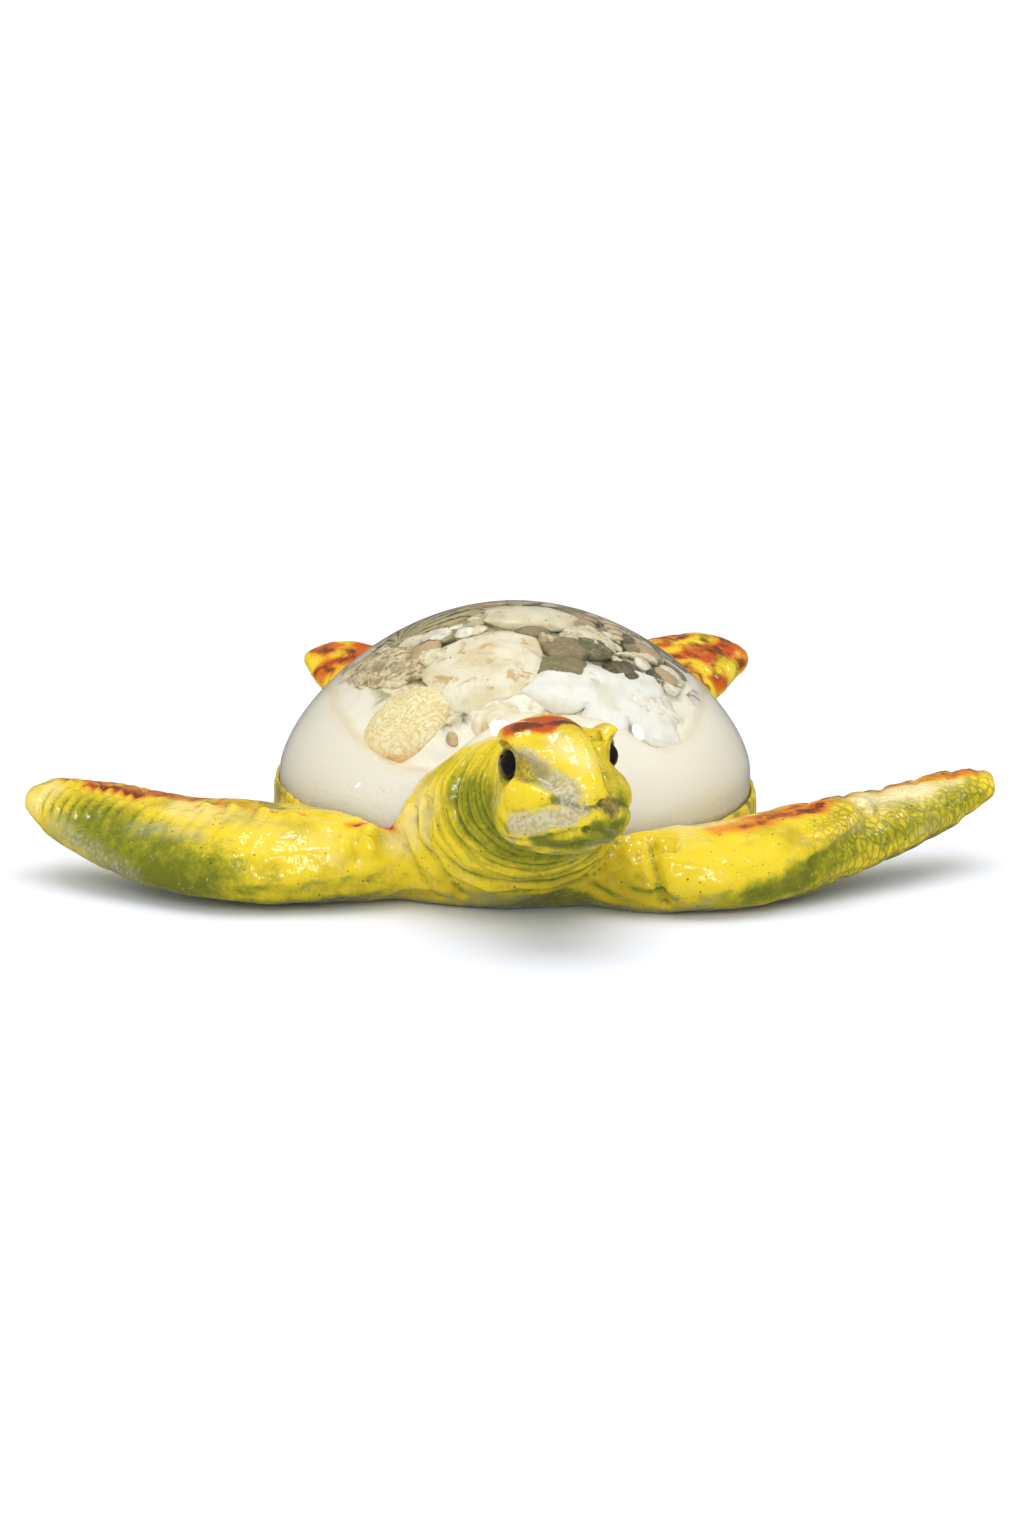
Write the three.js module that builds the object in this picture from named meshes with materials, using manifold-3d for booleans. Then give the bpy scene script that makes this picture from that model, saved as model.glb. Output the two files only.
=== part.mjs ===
// Sea turtle figurine: a hand-painted cast turtle that carries a clear resin dome in place of its shell.
// Under the dome lie seashells, pebbles, coral and a starfish, held in a cream cast bed.
// Millimetres, +Z up. The turtle rests on Z = 0 and looks toward -Y, with its right flipper on -X.

import * as THREE from "three";
import { LoftGeometry } from "three/addons/geometries/LoftGeometry.js";
import { mergeVertices } from "three/addons/utils/BufferGeometryUtils.js";
import Module from "manifold-3d";

const wasm = await Module();
wasm.setup();

// ---------- driving dimensions ----------

const GAP = 0.3; // clearance between pieces that touch

// The clear dome: an oval cap on a short upright skirt.
const DOME_CENTRE_X = 0.6;
const DOME_HALF_WIDTH = 48.4;
const DOME_HALF_LENGTH = 58;
const DOME_TOP = 50.6;
const DOME_SHOULDER = 16.5; // where the curved cap meets the skirt
const DOME_FOOT = 11.5;
const CAP_TOP_PULL = 0.56; // how far the cap stays level at its top, as a share of its half width
const CAP_SIDE_PULL = 0.3; // how far it stays upright above the skirt, as a share of its height

// The cream bed inside the dome.
const SIDE_SKIN = 3.2; // clear resin beside the bed
const TOP_SKIN = 5.5; // clear resin over the bed
const LEAST_SKIN = 1.2; // clear resin over the shells that stand highest
const BED_ROUND = 50; // radius that flat shells bend to, to lie on the bed

// The trunk under the dome.
const TRUNK_HALF_WIDTH = 49.9;
const TRUNK_HALF_LENGTH = 59.6;
const RIM_HEIGHT = 14.4; // of the rim round the dome, at the middle
const RIM_SLOPE = -0.035; // the rim stands higher on -X

// The tail, a short cone behind the trunk.
const TAIL_ROOT = 48; // distance of its root behind the middle of the trunk
const TAIL_LENGTH = 24;
const TAIL_RADIUS = 7;
const TAIL_TIP_RADIUS = 0.6;
const TAIL_HEIGHT = 5; // of its middle

// The head. Its own frame has -Y toward the nose.
const HEAD_CENTRE = [7.8, -76, 30.7];
const HEAD_YAW = THREE.MathUtils.degToRad(20);
const HEAD_ROLL = THREE.MathUtils.degToRad(3);
const EYE_RADIUS = 3;
const EYE_SIDE = 8.8; // from the middle of the head
const EYE_FORWARD = 3;
const EYE_UP = 4.2;
const BROW_HALF = [3.6, 5.2, 2.8]; // half sizes of the brow over each eye
const BROW_INWARD = 1; // from the middle of the eye
const BROW_BACK = 0.6;
const BROW_UP = 3.4;

// Segments round and along the round pieces.
const DOME_SIDES = 30;
const DOME_STEPS = 6;
const BED_SIDES = 24;
const BED_STEPS = 5;

// ---------- helpers ----------

const v3 = (x, y, z) => new THREE.Vector3(x, y, z);

// A three.js geometry as a manifold-3d solid with its faces outward.
function solidOf(geometry) {
  const bare = new THREE.BufferGeometry();
  bare.setAttribute("position", geometry.getAttribute("position"));
  bare.setIndex(geometry.index);
  const merged = mergeVertices(bare, 1e-3);
  const corners = new Uint32Array(merged.index.array);
  const build = () =>
    new wasm.Manifold(
      new wasm.Mesh({
        numProp: 3,
        vertProperties: new Float32Array(merged.attributes.position.array),
        triVerts: corners,
      }),
    );
  const solid = build();
  if (solid.volume() > 0) return solid;
  for (let i = 0; i < corners.length; i += 3) {
    [corners[i + 1], corners[i + 2]] = [corners[i + 2], corners[i + 1]];
  }
  return build();
}

// A manifold-3d solid as a flat-shaded three.js geometry.
function geometryOf(solid) {
  const mesh = solid.getMesh();
  const positions = new Float32Array(mesh.numVert * 3);
  for (let i = 0; i < mesh.numVert; i++) {
    const start = i * mesh.numProp;
    positions.set(mesh.vertProperties.subarray(start, start + 3), i * 3);
  }
  const indexed = new THREE.BufferGeometry();
  indexed.setAttribute("position", new THREE.BufferAttribute(positions, 3));
  indexed.setIndex(new THREE.BufferAttribute(mesh.triVerts, 1));
  const geometry = indexed.toNonIndexed();
  geometry.computeVertexNormals();
  return geometry;
}

const joined = (solids) => solids.reduce((all, next) => all.add(next));

// A smooth curve through rows of three numbers.
const through = (rows) => new THREE.CatmullRomCurve3(rows.map((row) => v3(...row)));

// A closed skin. pointAt(along, angle) gives the section at each share of the way along.
function skin(pointAt, steps, around) {
  const sections = [];
  for (let i = 0; i <= steps; i++) {
    const section = [];
    for (let j = 0; j < around; j++) section.push(pointAt(i / steps, (2 * Math.PI * j) / around));
    sections.push(section);
  }
  // Each section has to run counterclockwise as seen from the far end.
  const [first, second] = sections;
  const quarter = Math.floor(around / 4);
  const across = first[0].clone().sub(first[2 * quarter]);
  const up = first[quarter].clone().sub(first[3 * quarter]);
  const onward = second[0].clone().add(second[2 * quarter]).sub(first[0]).sub(first[2 * quarter]);
  if (across.cross(up).dot(onward) < 0) sections.forEach((section) => section.reverse());
  return new LoftGeometry(sections, { capStart: true, capEnd: true });
}

// ---------- the dome and its bed ----------

// An oval cap on a skirt. side and top take the skin in, and foot is a height.
function capSolid({ side, top, foot, around, steps }) {
  const radius = DOME_HALF_WIDTH - side;
  const height = DOME_TOP - DOME_SHOULDER - top;
  const cap = new THREE.CubicBezierCurve(
    new THREE.Vector2(0, height),
    new THREE.Vector2(radius * CAP_TOP_PULL, height),
    new THREE.Vector2(radius, height * CAP_SIDE_PULL),
    new THREE.Vector2(radius, 0),
  );
  const profile = cap.getPoints(steps);
  profile.push(new THREE.Vector2(radius, foot - DOME_SHOULDER));
  profile.push(new THREE.Vector2(0, foot - DOME_SHOULDER));
  const geometry = new THREE.LatheGeometry(profile, around);
  geometry.rotateX(Math.PI / 2);
  geometry.scale(1, (DOME_HALF_LENGTH - side) / radius, 1);
  geometry.translate(DOME_CENTRE_X, 0, DOME_SHOULDER);
  return solidOf(geometry);
}

// The place on the bed at a bearing (0 toward the head, 90 toward +X) and a share of the way down.
// Its frame has Z out of the bed and Y toward the top of the dome.
function onBed(bearing, down) {
  const wide = DOME_HALF_WIDTH - SIDE_SKIN;
  const long = DOME_HALF_LENGTH - SIDE_SKIN;
  const height = DOME_TOP - DOME_SHOULDER - TOP_SKIN;
  const cap = new THREE.CubicBezierCurve(
    new THREE.Vector2(0, height),
    new THREE.Vector2(CAP_TOP_PULL, height),
    new THREE.Vector2(1, height * CAP_SIDE_PULL),
    new THREE.Vector2(1, 0),
  );
  const place = (turn, share) => {
    const p = cap.getPoint(share);
    return v3(
      DOME_CENTRE_X + Math.sin(turn) * p.x * wide,
      -Math.cos(turn) * p.x * long,
      DOME_SHOULDER + p.y,
    );
  };
  const turn = THREE.MathUtils.degToRad(bearing);
  const step = 1e-3;
  const up = place(turn, down - step).sub(place(turn, down + step)).normalize();
  const side = place(turn + step, down).sub(place(turn - step, down)).normalize();
  const out = new THREE.Vector3().crossVectors(side, up).normalize();
  side.crossVectors(up, out).normalize();
  return new THREE.Matrix4().makeBasis(side, up, out).setPosition(place(turn, down));
}

// ---------- shells, stones and the starfish, each lying on X and Y with Z up ----------

// A rounded stone or worn shell with shallow lumps.
function lump(half, lumps, seed, grow) {
  const geometry = new THREE.IcosahedronGeometry(1, 1);
  const position = geometry.getAttribute("position");
  const p = v3(0, 0, 0);
  for (let i = 0; i < position.count; i++) {
    p.fromBufferAttribute(position, i);
    const wave = Math.sin(4 * p.x + seed) + Math.sin(5 * p.y - 2 * seed) + Math.sin(4.5 * p.z + 3 * seed);
    p.multiplyScalar(1 + lumps * wave);
    position.setXYZ(i, p.x * (half[0] + grow), p.y * (half[1] + grow), p.z * (half[2] + grow));
  }
  return geometry;
}

// Half a ribbed bivalve: a fan with its hinge toward -Y.
function fan(half, ribs, grow) {
  const [wide, long, deep] = half.map((size) => size + grow);
  const ribDepth = 0.06;
  const hingeNarrowing = 0.28;
  const crownShift = 0.35; // the highest point lies toward the hinge
  const crownSize = 0.15; // of the outline that is left at the top
  const pointAt = (along, angle) => {
    const open = Math.sin((Math.PI / 2) * (1 - (1 - crownSize) * along));
    const rib = 1 + ribDepth * Math.cos(ribs * angle);
    const narrow = 1 - (hingeNarrowing * (1 + Math.cos(angle))) / 2;
    const x = Math.sin(angle) * wide * open * rib * narrow;
    const y = -Math.cos(angle) * long * open * rib - long * crownShift * along;
    return v3(x, y, deep * (2 * Math.sin((Math.PI / 2) * along) - 1));
  };
  return skin(pointAt, 2, ribs * 2);
}

// A turban or tower shell: whorls that shrink toward the tip at +Y.
function spire(half, turns, grow) {
  const [wide, long, deep] = half.map((size) => size + grow);
  const mouth = 0.12; // share of the length that opens out before the whorls shrink
  const mouthSize = 0.6;
  const tipSize = 0.16;
  const whorlDepth = 0.12;
  const pointAt = (along, angle) => {
    const opening = THREE.MathUtils.mapLinear(along, 0, mouth, mouthSize, 1);
    const closing = THREE.MathUtils.mapLinear(along, mouth, 1, 1, tipSize);
    const taper = Math.min(opening, closing);
    const whorl = 1 - whorlDepth * Math.cos(2 * Math.PI * turns * along + angle);
    const x = Math.cos(angle) * wide * taper * whorl;
    const z = Math.sin(angle) * deep * taper * whorl;
    return v3(x, long * (2 * along - 1), z);
  };
  return skin(pointAt, turns * 2 + 1, 7);
}

// A five-armed starfish with round arm ends.
function starfish(reach, waist, thickness, grow) {
  const arms = 5;
  const pointsPerArm = 5;
  const slimness = 1.15; // a larger number gives narrower arms
  const outline = [];
  for (let i = 0; i < arms * pointsPerArm; i++) {
    const angle = (2 * Math.PI * i) / (arms * pointsPerArm);
    const peak = 0.5 + 0.5 * Math.cos(arms * angle);
    const radius = waist + (reach - waist) * peak ** slimness;
    outline.push(new THREE.Vector2(Math.sin(angle) * radius, Math.cos(angle) * radius));
  }
  const bevel = thickness * 0.3;
  const geometry = new THREE.ExtrudeGeometry(new THREE.Shape(outline), {
    depth: thickness - 2 * bevel,
    bevelThickness: bevel + grow,
    bevelSize: bevel + grow,
    bevelSegments: 1,
    steps: 1,
  });
  return geometry.translate(0, 0, bevel - thickness / 2);
}

// Bends a flat thing over the round of the bed.
function draped(geometry) {
  const position = geometry.getAttribute("position");
  for (let i = 0; i < position.count; i++) {
    const x = position.getX(i);
    const y = position.getY(i);
    position.setZ(i, position.getZ(i) - (x * x + y * y) / (2 * BED_ROUND));
  }
  return geometry;
}

// ---------- what lies in the bed ----------

// Each has its shape, and its place on the bed: bearing, share of the way down, turn in degrees,
// and how far its middle stands out of the bed.
const BED_FINDS = [
  {
    name: "white_starfish",
    shape: (grow) => draped(starfish(16.4, 6, 3.4, grow)),
    at: [38, 0.45, 0, 0.8],
    finish: { color: 0xf4f1e6, roughness: 0.3 },
  },
  {
    name: "swirled_pebble",
    shape: (grow) => lump([8.4, 9.6, 4.4], 0.02, 1, grow),
    at: [-38, 0.55, -8, -1.2],
    finish: { color: 0xe3cd94, roughness: 0.35 },
  },
  {
    name: "pitted_coral",
    shape: (grow) => draped(lump([11, 5, 4.2], 0.05, 2.2, grow)),
    at: [-70, 0.39, 12, -0.6],
    finish: { color: 0xdfd3b6, roughness: 0.6 },
  },
  {
    name: "cream_shell_front",
    shape: (grow) => draped(lump([9.4, 11.6, 4.2], 0.04, 0.4, grow)),
    at: [-16, 0.29, 16, -0.6],
    finish: { color: 0xe9dfc4, roughness: 0.35 },
  },
  {
    name: "ribbed_cockle",
    shape: (grow) => draped(fan([10, 11, 3], 11, grow)),
    at: [-104, 0.23, 70, 0],
    finish: { color: 0xb9ab86, roughness: 0.45 },
  },
  {
    name: "cream_shell_top",
    shape: (grow) => draped(lump([8.4, 6.2, 3.4], 0.04, 4, grow)),
    at: [50, 0.05, -50, 0.4],
    finish: { color: 0xe6d9b8, roughness: 0.35 },
  },
  {
    name: "round_snail",
    shape: (grow) => lump([4.2, 4.2, 3.2], 0.03, 5, grow),
    at: [-5, 0.52, 0, -0.4],
    finish: { color: 0xe6dcc4, roughness: 0.3 },
  },
  {
    name: "tower_shell",
    shape: (grow) => spire([4.2, 10, 3.4], 4, grow),
    at: [98, 0.27, 84, 0.4],
    finish: { color: 0xcbb184, roughness: 0.4 },
  },
  {
    name: "grey_stone",
    shape: (grow) => lump([6.4, 5.6, 3.6], 0.04, 3, grow),
    at: [104, 0.47, 20, -0.8],
    finish: { color: 0x8b8a72, roughness: 0.5 },
  },
  {
    name: "brown_edged_scallop",
    shape: (grow) => draped(fan([7, 7.6, 2.6], 9, grow)),
    at: [80, 0.64, 10, 0],
    finish: { color: 0xa99878, roughness: 0.45 },
  },
  {
    name: "banded_cockle",
    shape: (grow) => draped(fan([9, 9.6, 3], 10, grow)),
    at: [150, 0.36, 170, 0],
    finish: { color: 0xd9c29a, roughness: 0.4 },
  },
  {
    name: "turban_shell",
    shape: (grow) => spire([5.2, 8.4, 3.8], 3, grow),
    at: [-142, 0.42, -60, -0.7],
    finish: { color: 0xb59a6c, roughness: 0.4 },
  },
];

function placed(geometry, [bearing, down, turn, out]) {
  geometry.rotateZ(THREE.MathUtils.degToRad(turn));
  geometry.translate(0, 0, out);
  geometry.applyMatrix4(onBed(bearing, down));
  return solidOf(geometry);
}

// ---------- the turtle ----------

// The trunk is a bowl. Rows of its profile give the share of its half width, and a height.
// A sloping cut at the rim takes its top off.
function trunkSolid() {
  const profile = [
    [0, -1],
    [0.84, -1],
    [0.93, 1],
    [0.975, 4],
    [1, 9],
    [0.997, 13],
    [0.988, 17.5],
    [0, 17.5],
  ].map(([share, z]) => new THREE.Vector2(share * TRUNK_HALF_WIDTH, z));
  const geometry = new THREE.LatheGeometry(profile, DOME_SIDES);
  geometry.rotateX(Math.PI / 2);
  geometry.scale(1, TRUNK_HALF_LENGTH / TRUNK_HALF_WIDTH, 1);
  geometry.translate(DOME_CENTRE_X, 0, 0);
  const down = v3(-RIM_SLOPE, 0, 1).normalize().negate();
  return solidOf(geometry).trimByPlane(down.toArray(), -RIM_HEIGHT * Math.abs(down.z));
}

const LEAD_FULLNESS = 0.18; // how much thicker a flipper is toward its leading edge

// A flipper from its root to its tip. Rows give X, Y, Z of the leading edge, X, Y, Z of the trailing edge
// and half the thickness.
function flipperSolid(rows, steps, around) {
  const lead = through(rows.map(([x, y, z]) => [x, y, z]));
  const trail = through(rows.map(([, , , x, y, z]) => [x, y, z]));
  const body = through(rows.map((row, i) => [i, row[6], 0]));
  const pointAt = (along, angle) => {
    const a = lead.getPoint(along);
    const b = trail.getPoint(along);
    const middle = a.clone().add(b).multiplyScalar(0.5);
    const chord = a.clone().sub(b).multiplyScalar(0.5);
    const level = v3(chord.y, -chord.x, 0); // along the flipper, across the chord
    const rise = chord.clone().cross(level).normalize();
    if (rise.z < 0) rise.negate();
    const fullness = 1 + LEAD_FULLNESS * Math.cos(angle);
    const thick = body.getPoint(along).y * Math.sin(angle) * fullness;
    return middle.addScaledVector(chord, Math.cos(angle)).addScaledVector(rise, thick);
  };
  return solidOf(skin(pointAt, steps, around));
}

const FRONT_LEFT = [
  [2, -50, 8, 2, -22, 8, 7],
  [14, -57, 7, 14, -22, 8, 8.6],
  [26, -62, 6.2, 26, -28, 8, 8.8],
  [36, -63.5, 6.5, 36, -31, 8.5, 7.3],
  [44, -62.5, 6.5, 44, -29, 9, 7.4],
  [53, -57.5, 6, 53, -26, 11, 7.4],
  [61, -51, 6.6, 61, -22, 12.6, 6.8],
  [70, -43.5, 7.6, 70, -17, 14, 5.8],
  [80, -35, 9.4, 80, -12, 15.6, 4.6],
  [88, -27, 11.2, 88, -8, 16.8, 3.9],
  [94, -20.5, 13.6, 94, -7, 17.4, 2.9],
  [97.8, -16, 15.2, 97.8, -9.5, 16.8, 1.7],
];

// The upper arm lies over the blade and ends in a round fold.
const FRONT_LEFT_FOLD = [
  [36, -57, 8, 36, -38, 10, 6],
  [46, -58, 8.6, 46, -33, 12, 6],
  [56, -55, 9, 56, -29, 13.4, 5.8],
  [64, -49, 10, 64, -26, 14.6, 5.2],
  [69, -43, 11.4, 69, -25, 15, 4],
  [72.4, -37, 13, 72.4, -27, 15, 2],
];

const FRONT_RIGHT = [
  [-16, -50, 8.5, -16, -20, 9, 8],
  [-24, -56, 8, -24, -22, 9, 8.5],
  [-33, -58, 8, -33, -24, 9.5, 8.6],
  [-44, -60, 7, -44, -24, 11, 8.4],
  [-54, -60, 6.4, -54, -22, 12.5, 7.9],
  [-64, -56, 6, -64, -20, 13.5, 6.9],
  [-74, -49, 6.2, -74, -17, 15, 5.8],
  [-84, -41.5, 7.8, -84, -15, 16.5, 4.8],
  [-91.5, -34, 10.2, -91.5, -14.5, 17.4, 4],
  [-96, -28, 12.8, -96, -17, 16.5, 2.8],
  [-97.8, -25, 14, -97.8, -21, 15.4, 1.6],
];

const REAR_LEFT = [
  [31, 38, 9, 12, 46, 9, 6],
  [36, 50, 11, 14, 62, 15, 6],
  [41, 61, 13.6, 19, 74, 21, 5.4],
  [45.5, 71.5, 16, 26, 84, 25.4, 4.6],
  [49.8, 81, 18.4, 36, 92, 27.6, 3.8],
  [52.8, 87, 20.4, 45, 94.6, 26.4, 2.6],
  [53.6, 90, 21.8, 50.4, 93.6, 24.4, 1.2],
];

const REAR_RIGHT = [
  [-31, 38, 9, -12, 46, 9, 6],
  [-34, 50, 11, -13, 60, 14, 6],
  [-37.4, 61, 13.8, -16, 71, 19.4, 5.2],
  [-40.6, 70.6, 16.6, -22, 81, 23.4, 4.2],
  [-43.8, 79, 19, -31, 88.6, 25.4, 3.2],
  [-46.4, 84.6, 21.2, -40, 91.4, 25.2, 2.2],
  [-47.2, 87.4, 22.6, -44.8, 90.4, 24.2, 1],
];

// Soft knobs along the top edge of each front flipper: X, Y and Z of each, and its radius.
const KNOBS = [
  [-79, -20, 14.4, 3],
  [-70, -21.4, 13.6, 3],
  [-61.5, -23, 13, 3.2],
  [-53, -25, 12.4, 3.4],
  [79, -17, 13.6, 3],
  [88, -13, 15, 2.6],
];
const KNOB_STRETCH = [1.35, 1.5, 0.75];

function knobSolid([x, y, z, radius]) {
  const geometry = new THREE.IcosahedronGeometry(radius, 1);
  geometry.scale(...KNOB_STRETCH);
  return solidOf(geometry.translate(x, y, z));
}

// The neck swells from the chest to the head in round folds. Rows give the middle of each ring,
// then its half width, half height and lean in degrees.
const NECK_FOLDS = 7;
const NECK_FOLD_DEPTH = 0.035; // as a share of the neck's size
const NECK = [
  [-1, -34, 9, 28, 11, 0],
  [-2.6, -43, 10.5, 25, 12.5, 6],
  [-1.4, -50, 15, 22.2, 15.2, 14],
  [1.6, -57, 20.2, 19.2, 15.4, 24],
  [5, -63.5, 24.6, 15.8, 13.6, 28],
  [7.4, -70, 28, 13, 12, 22],
  [8.2, -75, 30, 11, 10, 10],
];

function neckSolid() {
  const middles = through(NECK.map(([x, y, z]) => [x, y, z]));
  const sizes = through(NECK.map(([, , , wide, high, lean]) => [wide, high, lean]));
  const pointAt = (along, angle) => {
    const size = sizes.getPoint(along);
    const lean = THREE.MathUtils.degToRad(size.z);
    const fold = 1 + NECK_FOLD_DEPTH * (Math.abs(Math.sin(Math.PI * NECK_FOLDS * along)) - 0.5);
    const across = Math.cos(angle) * size.x * fold;
    const up = Math.sin(angle) * size.y * fold;
    return middles.getPoint(along).add(v3(across, up * Math.sin(lean), up * Math.cos(lean)));
  };
  return solidOf(skin(pointAt, NECK_FOLDS * 2, 20));
}

// The head in its own frame. Rows give the reach toward the nose, half width, top and bottom.
const HEAD = [
  [-14, 6.4, 8, -9],
  [-9, 8.8, 11, -12],
  [-3, 11.2, 12.2, -13.2],
  [3, 12.6, 11.6, -13.4],
  [8.5, 12.2, 9.4, -12.6],
  [12.5, 10.6, 6.2, -11.2],
  [15.6, 8, 3.2, -9.4],
  [17.6, 4.8, 1.4, -7],
  [18.4, 1.8, -0.2, -4.6],
];
const TOP_PINCH = 0.26; // how much narrower the head is across the eyes than across the jaw
const MOUTH_ANGLE = THREE.MathUtils.degToRad(-24); // of the mouth line round each section
const MOUTH_DEPTH = 0.05; // as a share of the head's half width
const MOUTH_SPREAD = 0.16; // radians on each side of the line
const BOXINESS = 0.88; // 1 gives oval sections, and less gives squarer ones

// Rounds a section toward a box.
const squared = (share) => Math.sign(share) * Math.abs(share) ** BOXINESS;

function headPlace() {
  const turn = new THREE.Quaternion().setFromEuler(new THREE.Euler(0, HEAD_ROLL, HEAD_YAW, "ZXY"));
  return new THREE.Matrix4().compose(v3(...HEAD_CENTRE), turn, v3(1, 1, 1));
}

function skullSolid() {
  const widths = through(HEAD.map(([reach, wide]) => [reach, wide, 0]));
  const heights = through(HEAD.map(([, , top, bottom]) => [top, bottom, 0]));
  const pointAt = (along, angle) => {
    const width = widths.getPoint(along);
    const height = heights.getPoint(along);
    const rise = squared(Math.sin(angle));
    const side = squared(Math.cos(angle));
    const fromMouth = Math.atan2(rise, Math.abs(side)) - MOUTH_ANGLE;
    const inFront = THREE.MathUtils.smoothstep(along, 0.3, 0.5);
    const mouth = MOUTH_DEPTH * inFront * Math.exp(-((fromMouth / MOUTH_SPREAD) ** 2));
    const x = side * width.y * (1 - TOP_PINCH * rise) * (1 - mouth);
    const z = rise > 0 ? rise * height.x : -rise * height.y;
    return v3(x, -width.x, z);
  };
  return solidOf(skin(pointAt, 14, 20).applyMatrix4(headPlace()));
}

function eyePlace(side) {
  return headPlace().multiply(new THREE.Matrix4().makeTranslation(side * EYE_SIDE, -EYE_FORWARD, EYE_UP));
}

// A brow stands over each eye.
function browSolid(side) {
  const geometry = new THREE.IcosahedronGeometry(1, 1);
  geometry.scale(...BROW_HALF);
  geometry.translate(side * (EYE_SIDE - BROW_INWARD), BROW_BACK - EYE_FORWARD, EYE_UP + BROW_UP);
  return solidOf(geometry.applyMatrix4(headPlace()));
}

function eyeSocket(side) {
  const geometry = new THREE.SphereGeometry(EYE_RADIUS + GAP, 10, 6);
  return solidOf(geometry.applyMatrix4(eyePlace(side)));
}

function tailSolid() {
  const pointAt = (along, angle) => {
    const radius = (TAIL_RADIUS - TAIL_TIP_RADIUS) * Math.cos((Math.PI / 2) * along) + TAIL_TIP_RADIUS;
    const y = TAIL_ROOT + TAIL_LENGTH * along;
    return v3(Math.cos(angle) * radius, y, TAIL_HEIGHT + Math.sin(angle) * radius);
  };
  return solidOf(skin(pointAt, 4, 10));
}

// ---------- assembly ----------

const group = new THREE.Group();

function addPiece(name, solid, finish) {
  const mesh = new THREE.Mesh(
    geometryOf(solid),
    new THREE.MeshStandardMaterial({ metalness: 0, flatShading: true, ...finish }),
  );
  mesh.name = name;
  group.add(mesh);
}

const domeShape = { around: DOME_SIDES, steps: DOME_STEPS };
const bedShape = { around: BED_SIDES, steps: BED_STEPS };
const domeOuter = capSolid({ ...domeShape, side: 0, top: 0, foot: DOME_FOOT });
const domeSeat = capSolid({ ...domeShape, side: -GAP, top: -GAP, foot: DOME_FOOT - GAP });
const shellLimit = capSolid({ ...domeShape, side: LEAST_SKIN, top: LEAST_SKIN, foot: DOME_FOOT });
const bedOuter = capSolid({ ...bedShape, side: SIDE_SKIN, top: TOP_SKIN, foot: DOME_FOOT });
const bedRoom = capSolid({ ...bedShape, side: SIDE_SKIN - GAP, top: TOP_SKIN - GAP, foot: DOME_FOOT - 1 });

const pockets = BED_FINDS.map((find) => placed(find.shape(GAP), find.at));

const turtle = joined([
  trunkSolid(),
  neckSolid(),
  skullSolid(),
  browSolid(-1),
  browSolid(1),
  flipperSolid(FRONT_LEFT, 12, 12),
  flipperSolid(FRONT_LEFT_FOLD, 6, 10),
  flipperSolid(FRONT_RIGHT, 12, 12),
  flipperSolid(REAR_LEFT, 7, 10),
  flipperSolid(REAR_RIGHT, 7, 10),
  ...KNOBS.map(knobSolid),
  tailSolid(),
])
  .subtract(domeSeat)
  .subtract(eyeSocket(-1))
  .subtract(eyeSocket(1))
  .trimByPlane([0, 0, 1], 0);

addPiece("turtle_body", turtle, { color: 0xd9c81f, roughness: 0.2 });
addPiece("clear_resin_dome", domeOuter.subtract(joined([bedRoom, ...pockets])), {
  color: 0xf2f1ea,
  roughness: 0.05,
  transparent: true,
  opacity: 0.35,
});
addPiece("cream_shell_bed", bedOuter.subtract(joined(pockets)), { color: 0xe9e4d0, roughness: 0.4 });
for (const find of BED_FINDS) {
  addPiece(find.name, placed(find.shape(0), find.at).intersect(shellLimit), find.finish);
}
for (const [name, side] of [["right_eye", -1], ["left_eye", 1]]) {
  const bead = solidOf(new THREE.SphereGeometry(EYE_RADIUS, 10, 6).applyMatrix4(eyePlace(side)));
  addPiece(name, bead, { color: 0x0b0b0b, roughness: 0.08 });
}

export default group;
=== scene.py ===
# %% [markdown]
# # A sea turtle figurine with seashells under a clear resin dome
# The real object is one painted casting of a swimming sea turtle. In place of its shell it carries a
# clear resin dome, and under the dome lie seashells, pebbles and a starfish in a bed of cream resin.
# The CAD model already has every piece at its real size. Here each piece gets its fine shape and its
# finish. Lengths below are in millimetres, because a maker thinks in them, and MM turns them to metres.

import math

import bpy
import numpy as np
from mathutils import Matrix, Vector


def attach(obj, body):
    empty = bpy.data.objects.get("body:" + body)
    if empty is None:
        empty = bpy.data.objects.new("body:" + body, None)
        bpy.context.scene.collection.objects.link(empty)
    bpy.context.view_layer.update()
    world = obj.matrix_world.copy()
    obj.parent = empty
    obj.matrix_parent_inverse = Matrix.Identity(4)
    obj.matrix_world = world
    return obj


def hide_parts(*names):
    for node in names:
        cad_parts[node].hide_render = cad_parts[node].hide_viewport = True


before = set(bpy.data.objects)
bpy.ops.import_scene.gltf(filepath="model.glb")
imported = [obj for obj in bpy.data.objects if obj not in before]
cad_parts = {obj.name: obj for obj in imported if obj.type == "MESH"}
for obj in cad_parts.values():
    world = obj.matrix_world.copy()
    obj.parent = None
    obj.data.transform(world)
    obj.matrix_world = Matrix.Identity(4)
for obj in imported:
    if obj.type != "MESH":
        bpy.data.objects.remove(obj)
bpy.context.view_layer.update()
MM = 0.001

# %% [markdown]
# ## The camera
# The turtle is seen from the front and from a little above, by a long lens far away, so it looks
# nearly flat on. The lens length follows from how many pixels a millimetre covers.

# %% Camera
PICTURE_HEIGHT = 1536
PIXELS_PER_MM = 4.85
SENSOR_WIDTH = 36
CAMERA_DISTANCE = 900
CAMERA_ANGLE = math.radians(12.3)
LOOKED_AT = Vector((0, 0, 16.5))


def add_object(name, data):
    made = bpy.data.objects.new(name, data)
    bpy.context.scene.collection.objects.link(made)
    return made


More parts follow.
